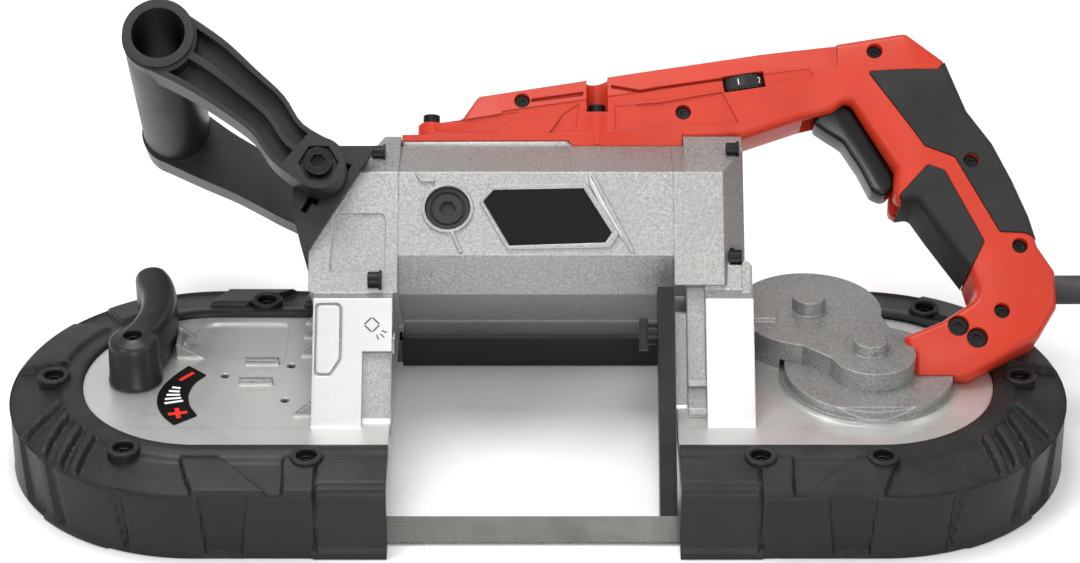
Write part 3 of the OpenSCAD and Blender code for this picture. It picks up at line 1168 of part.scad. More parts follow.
// Arms bend on their way to the bolt: share of the way, bow to the outside, half width
near_line = [[0, 0, 17.5], [0.25, 3.6, 15.5], [0.47, 4, 13.3], [0.66, 3.3, 12.2], [0.82, -1.5, 11.8],
  [1, 0, 13]];
far_line = [[0, 0, 17.5], [0.25, 0.5, 15], [0.46, 2, 13.5], [0.7, 2, 12], [0.86, 2, 11], [1, 0, 13]];
// Curve beside the middle line of an arm, at the share e of its half width, between two shares
function beside(line, top, e, from, to) = let (
    d = front_bolt - top,
    out = turn(unit(d), 90),
    fine = spline(line, 4))
  [for (p = fine) if (p[0] >= from && p[0] <= to) top + d * p[0] + out * (p[1] + e * p[2])];
function backwards(v) = [for (i = [len(v) - 1 : -1 : 0]) v[i]];
module band(line, top, e0, e1, from, to)
  polygon(concat(beside(line, top, e0, from, to), backwards(beside(line, top, e1, from, to))));
module front_arm(n0, n1, line, top, near) difference() {
  along_n(n0, n1) {
    translate(top) circle(front_grip_r);
    translate(front_bolt) circle(13);
    band(line, top, -1, 1, 0, 1);
  }
  // Pockets with a rib between them, in the face away from the hand
  for (e = [[-0.8, -0.12], [0.12, 0.8]]) translate([0, 0, near ? n1 - 9 : n0 - 1])
    linear_extrude(10) difference() {
      band(line, top, e[0], e[1], 0.05, 0.88);
      translate(top) circle(front_grip_r + 1.5);
      translate(front_bolt) circle(13);
    }
}
module front_handle() color([0.2, 0.2, 0.2]) seated() working_plane() difference() {
  union() {
    grip_rod(front_grip_r, 0);
    front_arm(arm_near[0], arm_near[1], near_line, grip_top + (grip_far - grip_top) * 0.08, true);
    front_arm(arm_far[0], arm_far[1], far_line, grip_far, false);
  }
  grip_rod(front_grip_bore_r, 1);
  translate([front_bolt.x, front_bolt.y, -60]) cylinder(r = front_bolt_r + run, h = 160);
  translate([front_bolt.x, front_bolt.y, arm_near[1] - 3]) cylinder(r = 9.6, h = 10, $fn = 6);
  translate([front_bolt.x, front_bolt.y, arm_far[0] - 1]) cylinder(r = 7.5, h = 5, $fn = 6);
}
module front_handle_wedge() color([0.13, 0.13, 0.13]) seated() working_plane() difference() {
  along_n(arm_far[1] + 0.1, arm_near[0] - 0.1) polygon(rounded([[-118.5, 126, 4], [-98, 137, 6],
    [-79, 137, 1], [-111, 85, 1], [-114.5, 86, 2], [-119.5, 106, 3]]));
  // Cast fins on its front and back
  for (n = [[-40, -22], [50, 80]], k = [0 : 3]) along_n(n[0], n[1])
    translate([-115 + 5 * k, 104 + 4 * k]) rotate(-28) square([3, 14]);
  translate([front_bolt.x, front_bolt.y, -60]) cylinder(r = front_bolt_r + run, h = 160);
  along_n(housing_n0 - 20, housing_n1 + 0.1) offset(delta = 0.1) end_cap_outline();
}
module front_handle_bolt() color([0.15, 0.15, 0.15]) seated() working_plane() translate(front_bolt) {
  translate([0, 0, arm_near[1] - 3]) cap_screw(6.8, 6, front_bolt_r, arm_near[1] - arm_far[0] - 3 - 1);
  translate([0, 0, arm_far[0] - 0.5]) difference() {
    cylinder(r = 7.2, h = 4.4, $fn = 6);
    translate([0, 0, -1]) cylinder(r = front_bolt_r + run, h = 10);
  }
}

// Mains cord: strain relief, free stretch, put-away coil and plug

cord_s = 75.7;
cord_boot_r = 7.2;
cord_y = plane_y(cord_s, motor_n);
cord_z = plane_z(cord_s, motor_n);
cord_r = cord_d / 2;
boot_x = [240, 297];
module strain_relief() color([0.1, 0.1, 0.1]) seated() translate([0, cord_y, cord_z]) rotate([0, 90, 0])
  difference() {
    union() {
      translate([0, 0, boot_x[0]]) cylinder(r = cord_boot_r, h = 272 - boot_x[0]);
      translate([0, 0, 272]) cylinder(r1 = cord_boot_r, r2 = cord_r + 1.2, h = boot_x[1] - 272);
    }
    for (x = [276 : 5 : 292]) translate([0, 0, x]) rotate_extrude() translate([cord_r + 1, 0])
      square([10, 1.6]);
  }

// The coil lies on the table in four layers. It starts on top and spirals in and out by turns;
// it steps down in the half turn about each change, so that its end leaves along the table
coil_turns = 2.25;
coil_layers = 4;
coil_r = 49;
coil_rings = 24;
coil_gap = 0.6;
coil_step = cord_d + coil_gap;
coil_top = cord_r + (coil_layers - 1) * coil_step;

// The free stretch drops from the strain relief to the top of the coil in two opposite bends
bend_r = 34;
bend_a = acos(1 - (cord_z - coil_top) / (2 * bend_r));
bend_x = [boot_x[1] + cord_d, boot_x[1] + cord_d + 2 * bend_r * sin(bend_a)];
cord_route = concat([[boot_x[1], cord_y, cord_z]],
  [for (i = [0 : 8]) let (a = bend_a * i / 8)
    [bend_x[0] + bend_r * sin(a), cord_y, cord_z - bend_r * (1 - cos(a))]],
  [for (i = [7 : -1 : 0]) let (a = bend_a * i / 8)
    [bend_x[1] - bend_r * sin(a), cord_y, coil_top + bend_r * (1 - cos(a))]],
  [[bend_x[1] + cord_d, cord_y, coil_top]]);
module mains_cord() color([0.1, 0.1, 0.1]) seated() tube(cord_route, cord_r, 10);

coil_start = cord_route[len(cord_route) - 1];
function coil_point(t) = let (
    layer = min(coil_layers - 1, floor(t / coil_turns)),
    u = t - layer * coil_turns,
    inward = layer % 2 == 0,
    r = coil_r - coil_step * (inward ? u : coil_turns - u),
    ramps = [for (k = [1 : coil_layers - 1]) smooth((t - k * coil_turns) * 2 + 0.5)],
    down = ramps * [for (k = [1 : coil_layers - 1]) 1],
    a = 90 - 360 * t)
  [coil_start.x + cord_d + r * cos(a), coil_start.y - coil_r + r * sin(a), coil_top - down * coil_step];
coil_loops = [for (i = [0 : coil_turns * coil_layers * coil_rings]) coil_point(i / coil_rings)];
// The tail lifts the cord to the middle of the plug once it is clear of the loops above
plug_r = 6.5;
tail = [[14, 0], [28, 0], [34, 0.3], [40, 0.8], [46, 1], [46 + cord_d, 1]];
loops_end = coil_loops[len(coil_loops) - 1];
coil_points = concat([coil_start], coil_loops,
  [for (p = tail) loops_end + [p[0], 0, p[1] * (plug_r + 0.1 - cord_r)]]);
coil_end = coil_points[len(coil_points) - 1];
half_loop = coil_rings / 2;
least_gap = min([for (i = [0 : len(coil_loops) - 1 - half_loop])
  min([for (j = [i + half_loop : len(coil_loops) - 1]) norm(coil_loops[i] - coil_loops[j])])]) - cord_d;
echo(str("Least gap of the coil to itself: ", least_gap, " mm"));
module cord_coil() color([0.1, 0.1, 0.1]) seated() tube(coil_points, cord_r, 6);

// Two pin plug that lies on the table beside the coil, its pins pointing away from the saw
plug_pin_r = 2;
plug_pin_gap = 19;
module mains_plug() color([0.1, 0.1, 0.1]) seated() translate(coil_end) rotate([0, 90, 0]) {
  translate([0, 0, 0.05]) cylinder(r1 = cord_r + 1, r2 = plug_r, h = 16);
  translate([0, 0, 15]) linear_extrude(20) link([0, -9.5], plug_r, [0, 9.5], plug_r);
  for (side = [-1, 1]) translate([0, side * plug_pin_gap / 2, 34.5]) cylinder(r = plug_pin_r, h = 19);
}

idler_frame();
motor_housing();
gear_frame();
gear_cover();
gear_side_cover();
gear_case_plate();
left_bumper();
right_bumper();
bumper_screws();
rear_blade_guard();
frame_screws();
badge_plate();
lamp_lens();
field_core();
armature();
motor_bearings();
brush_holders();
carbon_brushes();
brush_caps();
first_gear_shaft();
second_gear_shaft();
upright_shaft();
drive_shaft();
shaft_bearings();
drive_wheel();
drive_tyre();
idler_wheel();
idler_tyre();
tension_slide();
slide_keepers();
tension_springs();
tension_lever();
lever_screw();
tension_mark();
saw_blade();
left_blade_guide();
right_blade_guide();
left_front_roller();
left_rear_roller();
right_front_roller();
right_rear_roller();
work_stop();
work_stop_screw();
near_handle_shell();
far_handle_shell();
near_grip();
far_grip();
trigger();
trigger_pin();
switch_body();
speed_dial();
handle_screws();
flange_screws();
front_handle();
front_handle_wedge();
front_handle_bolt();
strain_relief();
mains_cord();
cord_coil();
mains_plug();
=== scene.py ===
"""Portable band saw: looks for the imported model, laid out as an add-on with one operator for each group of pieces."""
import math

import bmesh
import bpy
from bpy.props import FloatProperty, FloatVectorProperty, PointerProperty
from bpy.types import Operator, Panel, PropertyGroup
from mathutils import Matrix, Vector


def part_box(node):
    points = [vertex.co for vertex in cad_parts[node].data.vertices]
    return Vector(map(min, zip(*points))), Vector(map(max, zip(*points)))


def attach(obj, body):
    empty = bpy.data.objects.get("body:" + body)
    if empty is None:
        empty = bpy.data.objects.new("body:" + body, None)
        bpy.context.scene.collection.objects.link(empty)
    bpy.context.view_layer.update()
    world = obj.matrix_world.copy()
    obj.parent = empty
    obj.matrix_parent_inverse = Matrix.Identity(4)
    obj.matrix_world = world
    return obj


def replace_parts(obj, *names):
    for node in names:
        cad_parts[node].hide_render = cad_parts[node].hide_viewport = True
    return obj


bl_info = {
    "name": "Portable Band Saw",
    "version": (1, 0, 0),
    "blender": (4, 5, 0),
    "location": "View3D > Sidebar > Band Saw",
    "description": "Dresses the pieces of a portable band saw and its mains lead",
    "category": "Object",
}

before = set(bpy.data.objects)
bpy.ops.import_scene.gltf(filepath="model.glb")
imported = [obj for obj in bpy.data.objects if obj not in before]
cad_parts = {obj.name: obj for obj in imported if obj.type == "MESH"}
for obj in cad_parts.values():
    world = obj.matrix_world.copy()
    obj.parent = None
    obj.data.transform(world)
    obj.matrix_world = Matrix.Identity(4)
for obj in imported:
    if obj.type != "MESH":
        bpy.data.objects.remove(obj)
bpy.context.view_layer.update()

# The saw's own outline is centred on the origin, which moves the cutting plane this far from y = 0
SHIFT_Y = -0.0369867
ROOT_HALF = math.sqrt(0.5)


def plane(x, s, n):
    """A point of the working plane in mm: x along the blade, s up the plane, n out of it towards the operator."""
    return Vector((x / 1000, (s - n) * ROOT_HALF / 1000 + SHIFT_Y, (s + n) * ROOT_HALF / 1000))


# The same axes as a matrix: the working plane leans back by 45 degrees
PLANE = Matrix((
    (1, 0, 0, 0),
    (0, ROOT_HALF, -ROOT_HALF, SHIFT_Y),
    (0, ROOT_HALF, ROOT_HALF, 0),
    (0, 0, 0, 1),
))
# The table's axes, with y counted from the line between the wheels
TABLE = Matrix.Translation((0, SHIFT_Y, 0))

# Height of the pads' faces out of the working plane, and of the wheel decks' tops over the table, in mm
PAD_N = 58.5
DECK_Z = 39.0

# Points of a mesh that are nearer than this are one, in metres
WELD = 0.00001
FINE_WELD = 0.000001


# ---------------------------------------------------------------------------
# Sizes and colours that a user would change
# ---------------------------------------------------------------------------

def colour(name, text, default):
    """A colour that the panel offers."""
    return FloatVectorProperty(name=name, description=text, subtype="COLOR", size=3, min=0, max=1, default=default)


class CastingSettings(PropertyGroup):
    tone: colour("Cast aluminium", "Colour of the sand cast housings", (0.37, 0.37, 0.36))
    # The pads' colour is partly their machined finish and partly a painted highlight on faces that meet the light. The
    # same colour serves as the machined aluminium's.
    machined_tone_and_pad_highlight: colour("Machined pads", "Colour of the ground faces beside the throat", (0.56, 0.56, 0.56))
    grain: FloatProperty(name="Grain", description="Size of the casting's grain", unit="LENGTH", min=0.0002, max=0.005,
                         default=0.0012)
    grain_depth: FloatProperty(name="Grain depth", description="Depth of the casting's grain", unit="LENGTH", min=0,
                               max=0.001, default=0.00018)


class PlasticSettings(PropertyGroup):
    red: colour("Red shells", "Colour of the moulded handle shells", (0.47, 0.031, 0.011))
    black: colour("Black plastic", "Colour of the black moulded pieces", (0.010, 0.010, 0.0105))
    bumper: colour("Bumpers", "Colour of the wheel guards' bumpers", (0.011, 0.011, 0.0115))
    grip: colour("Grip rubber", "Colour of the soft grip panels", (0.013, 0.013, 0.0125))
    stipple: FloatProperty(name="Stipple", description="Size of the moulded stipple", unit="LENGTH", min=0.0001,
                           max=0.003, default=0.0006)


class SteelSettings(PropertyGroup):
    blade: colour("Blade", "Colour of the blade's brushed steel", (0.13, 0.13, 0.122))
    bright: colour("Bright steel", "Colour of ground steel pieces", (0.60, 0.60, 0.60))
    black: colour("Blackened steel", "Colour of the blackened screws", (0.02, 0.02, 0.02))
    edge: FloatProperty(name="Edge wear", description="Width of the worn edges", unit="LENGTH", min=0.0001, max=0.003,
                        default=0.0007)


class LeadSettings(PropertyGroup):
    width: FloatProperty(name="Lead width", description="Diameter of the mains lead", unit="LENGTH", min=0.006,
                         max=0.009, default=0.0075)
    tone: colour("Lead", "Colour of the mains lead", (0.016, 0.016, 0.016))


class StudioSettings(PropertyGroup):
    floor: colour("Floor", "Colour of the studio floor", (0.95, 0.95, 0.95))
    key: FloatProperty(name="Key light", description="Power of the softbox above", unit="POWER", min=0, max=400,
                       default=14)
    sky: FloatProperty(name="Room light", description="Strength of the room's own light", min=0, max=3, default=0.62)


SETTINGS = (
    ("saw_castings", CastingSettings),
    ("saw_plastics", PlasticSettings),
    ("saw_steels", SteelSettings),
    ("saw_lead", LeadSettings),
    ("saw_studio", StudioSettings),
)


# ---------------------------------------------------------------------------
# Shader node groups that more than one material uses
# ---------------------------------------------------------------------------

class Nodes:
    """Short calls for building a node tree."""

    def __init__(self, tree):
        self.tree = tree
        self.made = 0

    def add(self, kind, sockets=None, **settings):
        """A node with its settings, and its inputs set to values or linked to sockets."""
        node = self.tree.nodes.new(kind)
        self.made += 1
        node.location = (180 * (self.made % 12), -220 * (self.made // 12))
        for name, value in settings.items():
            setattr(node, name, value)
        for name, value in (sockets or {}).items():
            if isinstance(value, bpy.types.NodeSocket):
                self.tree.links.new(value, node.inputs[name])
            else:
                node.inputs[name].default_value = value
        return node

    def place(self):
        """The point on the surface in the object's own axes."""
        return self.add("ShaderNodeTexCoord").outputs["Object"]

    def math(self, operation, a, b=0.5, clamp=False):
        return self.add("ShaderNodeMath", {0: a, 1: b}, operation=operation, use_clamp=clamp).outputs[0]

    def noise(self, where, scale, detail=4, roughness=0.55, distortion=0):
        return self.add("ShaderNodeTexNoise", {"Vector": where, "Scale": scale, "Detail": detail,
                                               "Roughness": roughness, "Distortion": distortion}).outputs["Fac"]

    def mix(self, fac, a, b):
        """A colour between two, each a value or a socket."""
        node = self.add("ShaderNodeMix", data_type="RGBA")
        for index, value in ((0, fac), (6, a), (7, b)):
            if isinstance(value, bpy.types.NodeSocket):
                self.tree.links.new(value, node.inputs[index])
            else:
                node.inputs[index].default_value = value if index == 0 else (*value[:3], 1)
        return node.outputs[2]

    def span(self, value, low, high, to_low=0.0, to_high=1.0):
        """A value taken from one range to another and held in it."""
        return self.add("ShaderNodeMapRange", {"Value": value, "From Min": low, "From Max": high, "To Min": to_low,
                                               "To Max": to_high}, clamp=True).outputs["Result"]


def worn_edges(n, given):
    """Mask of the edges that stand proud, from the angle between the true and a rounded normal."""
    rounded = n.add("ShaderNodeBevel", {"Radius": given["Width"]}, samples=4).outputs["Normal"]
    geometry = n.add("ShaderNodeNewGeometry").outputs
    turn = n.add("ShaderNodeVectorMath", {0: rounded, 1: geometry["Normal"]}, operation="DOT_PRODUCT")
    edge = n.math("SUBTRACT", 1.0, turn.outputs["Value"])
    broken = n.span(n.noise(n.place(), 90, 5, 0.7), 0.35, 0.62)
    mask = n.math("MULTIPLY", n.math("MULTIPLY", n.span(edge, 0.01, 0.14), broken), given["Wear"], clamp=True)
    return {"Mask": mask, "Normal": rounded}


def cast_grain(n, given):
    """Sandy grain of a casting: a rough height, light and dark specks, and broad soft clouds."""
    place = n.place()
    scale = n.math("DIVIDE", 1.0, given["Grain"])
    coarse = n.noise(place, n.math("MULTIPLY", scale, 0.42), 3, 0.6)
    fine = n.noise(place, scale, 5, 0.72)
    cell_scale = n.math("MULTIPLY", scale, 0.8)
    cells = n.add("ShaderNodeTexVoronoi", {"Vector": place, "Scale": cell_scale}).outputs["Distance"]
    height = n.math("ADD", n.math("MULTIPLY", coarse, 0.55),
                    n.math("ADD", n.math("MULTIPLY", fine, 0.8), n.math("MULTIPLY", cells, 0.35)))
    return {"Height": height, "Specks": n.span(fine, 0.36, 0.66),
            "Clouds": n.span(n.noise(place, 26, 4, 0.6, 0.6), 0.3, 0.7)}


def ground_faces(n, given):
    """Masks of the two ground faces of a casting: the pads beside the throat and the wheel decks' tops."""
    place = n.add("ShaderNodeSeparateXYZ", {0: n.place()}).outputs
    level = n.math("MULTIPLY", n.math("SUBTRACT", place["Z"], n.math("SUBTRACT", place["Y"], SHIFT_Y)), ROOT_HALF)

    def near(height, value, reach):
        return n.math("LESS_THAN", n.math("ABSOLUTE", n.math("SUBTRACT", height, value / 1000)), reach)

    return {"Pads": near(level, PAD_N, 0.0004), "Decks": near(place["Z"], DECK_Z, 0.0016)}


def moulded_stipple(n, given):
    """Stipple of a moulded surface with faint flow clouds and scuffs."""
    place = n.place()
    scale = n.math("DIVIDE", 1.0, given["Stipple"])
    cells = n.add("ShaderNodeTexVoronoi", {"Vector": place, "Scale": scale}, feature="SMOOTH_F1").outputs["Distance"]
    height = n.math("ADD", n.math("MULTIPLY", cells, 0.8), n.math("MULTIPLY", n.noise(place, scale, 3, 0.6), 0.5))
    streaks = n.add("ShaderNodeMapping", {"Vector": place, "Scale": (60, 420, 260), "Rotation": (0.4, 0.2, 0.5)})
    return {"Height": height, "Clouds": n.span(n.noise(place, 18, 5, 0.55, 0.8), 0.32, 0.7),
            "Scuffs": n.span(n.noise(streaks.outputs["Vector"], 1.0, 3, 0.6), 0.66, 0.8)}


def brushed_lines(n, given):
    """Lines left by grinding or rolling along x, with faint smudges."""
    place = n.place()
    scale = n.math("DIVIDE", 1.0, given["Lines"])
    stretch = n.add("ShaderNodeVectorMath", {0: place, 1: (0.02, 1.0, 1.0)}, operation="MULTIPLY").outputs["Vector"]
    lines = n.noise(stretch, scale, 4, 0.7)
    return {"Height": lines, "Tone": n.span(lines, 0.3, 0.7),
            "Smudges": n.span(n.noise(place, 34, 4, 0.6, 1.2), 0.38, 0.72)}


def settled_dust(n, given):
    """Dust that settles on what faces up, thicker in broad patches."""
    coordinates = n.add("ShaderNodeTexCoord").outputs
    up = n.add("ShaderNodeSeparateXYZ", {0: coordinates["Normal"]}).outputs["Z"]
    patches = n.span(n.noise(coordinates["Object"], 40, 6, 0.7), 0.35, 0.75)
    mask = n.math("MULTIPLY", n.math("MULTIPLY", n.span(up, 0.2, 0.95), patches), given["Amount"], clamp=True)
    return {"Mask": mask}


# Each effect's call and its inputs with their defaults
EFFECTS = {
    "Worn edges": (worn_edges, {"Width": 0.0007, "Wear": 0.5}),
    "Cast grain": (cast_grain, {"Grain": 0.0009}),
    "Ground faces": (ground_faces, {}),
    "Moulded stipple": (moulded_stipple, {"Stipple": 0.0006}),
    "Brushed lines": (brushed_lines, {"Lines": 0.0004}),
    "Settled dust": (settled_dust, {"Amount": 0.2}),
}
GROUPS = {}


def effect_group(name):
    """The shader group of an effect, made at its first use."""
    if name not in GROUPS:
        make, inputs = EFFECTS[name]
        tree = GROUPS[name] = bpy.data.node_groups.new(name, "ShaderNodeTree")
        for label, default in inputs.items():
            tree.interface.new_socket(label, in_out="INPUT", socket_type="NodeSocketFloat").default_value = default
        n = Nodes(tree)
        results = make(n, n.add("NodeGroupInput").outputs)
        for label in results:
            kind = "NodeSocketVector" if label == "Normal" else "NodeSocketFloat"
            tree.interface.new_socket(label, in_out="OUTPUT", socket_type=kind)
        n.add("NodeGroupOutput", results)
    return GROUPS[name]


def effect(n, name, sockets):
    """Places a shared effect in a material and returns its outputs."""
    return n.add("ShaderNodeGroup", sockets, node_tree=effect_group(name)).outputs


# ---------------------------------------------------------------------------
# Materials
# ---------------------------------------------------------------------------

def new_material(name):
    """An empty node material with its shader wired to the output."""
    made = bpy.data.materials.new(name)
    made.use_nodes = True
    n = Nodes(made.node_tree)
    made.node_tree.nodes.clear()
    shader = n.add("ShaderNodeBsdfPrincipled")
    n.add("ShaderNodeOutputMaterial", {"Surface": shader.outputs["BSDF"]})
    return made, n, shader


def feed(n, shader, socket, value):
    """Sets a shader's input to a value, or links it to a socket."""
    if isinstance(value, bpy.types.NodeSocket):
        n.tree.links.new(value, shader.inputs[socket])
    else:
        shader.inputs[socket].default_value = value


def shaded(tone, factor):
    """A colour made darker or lighter, held under 1."""
    return tuple(min(1.0, c * factor) for c in tone[:3])


def cast_material(castings):
    """Sand cast aluminium, smooth on its ground faces. The decks' tops are lighter as a painted sheen, and the pads are
    lighter partly from their machined finish and partly as a painted highlight.
    """
    made, n, shader = new_material("Cast aluminium")
    tone = tuple(castings.tone)
    cast = effect(n, "Cast grain", {"Grain": castings.grain})
    edges = effect(n, "Worn edges", {"Width": 0.0011, "Wear": 0.3})
    dust = effect(n, "Settled dust", {"Amount": 0.08})
    ground = effect(n, "Ground faces", {})
    speck = n.mix(cast["Specks"], shaded(tone, 0.6), shaded(tone, 1.22))
    clouded = n.mix(n.math("MULTIPLY", cast["Clouds"], 0.4), speck, shaded(tone, 0.84))
    # Painted sheen: the wheel decks' tops get a lighter copy of the cast tone. Their smoother grain and lower roughness
    # further down are their own finish.
    deck_painted_sheen = n.mix(n.math("MULTIPLY", ground["Decks"], 0.85), clouded, shaded(tone, 1.85))
    # Pads beside the throat: their lighter colour is partly their machined finish and partly a painted highlight.
    pad_finish_and_highlight = n.mix(n.math("MULTIPLY", ground["Pads"], 0.85), deck_painted_sheen, tuple(castings.machined_tone_and_pad_highlight))
    rubbed = n.mix(edges["Mask"], pad_finish_and_highlight, (0.93, 0.93, 0.92))
    feed(n, shader, "Base Color", n.mix(dust["Mask"], rubbed, (0.55, 0.53, 0.5)))
    shader.inputs["Metallic"].default_value = 0.72
    smooth = n.math("MAXIMUM", ground["Pads"], ground["Decks"])
    rough = n.span(n.math("ADD", n.math("MULTIPLY", cast["Specks"], 0.5), cast["Clouds"]), 0, 1.5, 0.32, 0.5)
    feed(n, shader, "Roughness", n.math("SUBTRACT", rough, n.math("MULTIPLY", smooth, 0.06)))
    even = n.math("SUBTRACT", 1.0, n.math("MULTIPLY", smooth, 0.78))
    bump = n.add("ShaderNodeBump", {"Height": n.math("MULTIPLY", cast["Height"], even),
                                    "Distance": castings.grain_depth, "Strength": 1.0, "Normal": edges["Normal"]})
    feed(n, shader, "Normal", bump.outputs["Normal"])
    return made


def moulded_material(name, tone, stipple, depth, rough=(0.36, 0.5), wear=0.3, dust_amount=0.1, edge=0.0009,
                     worn_tone=None, shine=0.5):
    """A moulded plastic or rubber with stipple, clouds, scuffs, worn edges and dust."""
    made, n, shader = new_material(name)
    shader.inputs["Specular IOR Level"].default_value = shine
    mould = effect(n, "Moulded stipple", {"Stipple": stipple})
    edges = effect(n, "Worn edges", {"Width": edge, "Wear": wear})
    dust = effect(n, "Settled dust", {"Amount": dust_amount})
    clouded = n.mix(n.math("MULTIPLY", mould["Clouds"], 0.6), shaded(tone, 1.08), shaded(tone, 0.84))
    rubbed = n.mix(edges["Mask"], clouded, worn_tone or shaded(tuple(c + 0.015 for c in tone), 1.7))
    scuffed = n.mix(n.math("MULTIPLY", mould["Scuffs"], 0.2), rubbed, shaded(tuple(c + 0.008 for c in tone), 1.4))
    feed(n, shader, "Base Color", n.mix(dust["Mask"], scuffed, (0.42, 0.41, 0.39)))
    rough_value = n.math("ADD", n.span(mould["Clouds"], 0, 1, *rough), n.math("MULTIPLY", mould["Scuffs"], 0.12))
    feed(n, shader, "Roughness", rough_value)
    bump = n.add("ShaderNodeBump", {"Height": mould["Height"], "Distance": depth, "Strength": 1.0,
                                    "Normal": edges["Normal"]})
    feed(n, shader, "Normal", bump.outputs["Normal"])
    return made


def steel_material(name, tone, lines=0.0004, rough=(0.24, 0.42), metallic=1.0, wear=0.4, worn_tone=(0.8, 0.8, 0.8),
                   edge=0.0005):
    """A ground or drawn metal with lines along x, smudges and worn edges."""
    made, n, shader = new_material(name)
    brushed = effect(n, "Brushed lines", {"Lines": lines})
    edges = effect(n, "Worn edges", {"Width": edge, "Wear": wear})
    lined = n.mix(brushed["Tone"], shaded(tone, 0.84), shaded(tone, 1.14))
    smudged = n.mix(n.math("MULTIPLY", brushed["Smudges"], 0.3), lined, shaded(tone, 0.78))
    feed(n, shader, "Base Color", n.mix(edges["Mask"], smudged, worn_tone))
    shader.inputs["Metallic"].default_value = metallic
    feed(n, shader, "Roughness", n.span(n.math("ADD", brushed["Smudges"], brushed["Tone"]), 0, 2, *rough))
    bump = n.add("ShaderNodeBump", {"Height": brushed["Height"], "Distance": 0.00003, "Strength": 1.0,
                                    "Normal": edges["Normal"]})
    feed(n, shader, "Normal", bump.outputs["Normal"])
    return made


def lens_material():
    """Clear plastic of the lamp."""
    made, n, shader = new_material("Lamp lens")
    mould = effect(n, "Moulded stipple", {"Stipple": 0.0016})
    feed(n, shader, "Base Color", n.mix(mould["Clouds"], (0.86, 0.9, 0.93), (0.96, 0.97, 0.97)))
    feed(n, shader, "Roughness", n.span(mould["Clouds"], 0, 1, 0.06, 0.16))
    shader.inputs["Transmission Weight"].default_value = 0.8
    bump = n.add("ShaderNodeBump", {"Height": mould["Height"], "Distance": 0.00008})
    feed(n, shader, "Normal", bump.outputs["Normal"])
    return made


def winding_material():
    """Enamelled wire: tight turns with a varnish over them."""
    made, n, shader = new_material("Enamelled wire")
    place = n.place()
    wires = n.add("ShaderNodeTexWave", {"Vector": place, "Scale": 520, "Distortion": 1.2, "Detail": 1},
                  wave_type="BANDS", bands_direction="X").outputs["Fac"]
    tone = n.noise(place, 120, 3)
    feed(n, shader, "Base Color", n.mix(n.math("MULTIPLY", wires, tone), (0.2, 0.07, 0.03), (0.62, 0.28, 0.13)))
    shader.inputs["Metallic"].default_value = 0.7
    feed(n, shader, "Roughness", n.span(tone, 0.3, 0.7, 0.25, 0.45))
    feed(n, shader, "Normal", n.add("ShaderNodeBump", {"Height": wires, "Distance": 0.0002}).outputs["Normal"])
    return made


def lamination_material():
    """Stamped sheets pressed into a stack across x."""
    made, n, shader = new_material("Lamination stack")
    place = n.place()
    sheets = n.add("ShaderNodeTexWave", {"Vector": place, "Scale": 320, "Distortion": 0.2}, wave_type="BANDS",
                   bands_direction="X").outputs["Fac"]
    rust = n.span(n.noise(place, 70, 5, 0.7), 0.5, 0.8)
    plain = n.mix(sheets, (0.1, 0.1, 0.1), (0.34, 0.34, 0.34))
    feed(n, shader, "Base Color", n.mix(n.math("MULTIPLY", rust, 0.5), plain, (0.24, 0.15, 0.09)))
    shader.inputs["Metallic"].default_value = 0.8
    feed(n, shader, "Roughness", n.span(rust, 0, 1, 0.4, 0.7))
    feed(n, shader, "Normal", n.add("ShaderNodeBump", {"Height": sheets, "Distance": 0.0001}).outputs["Normal"])
    return made


MATERIALS = {}


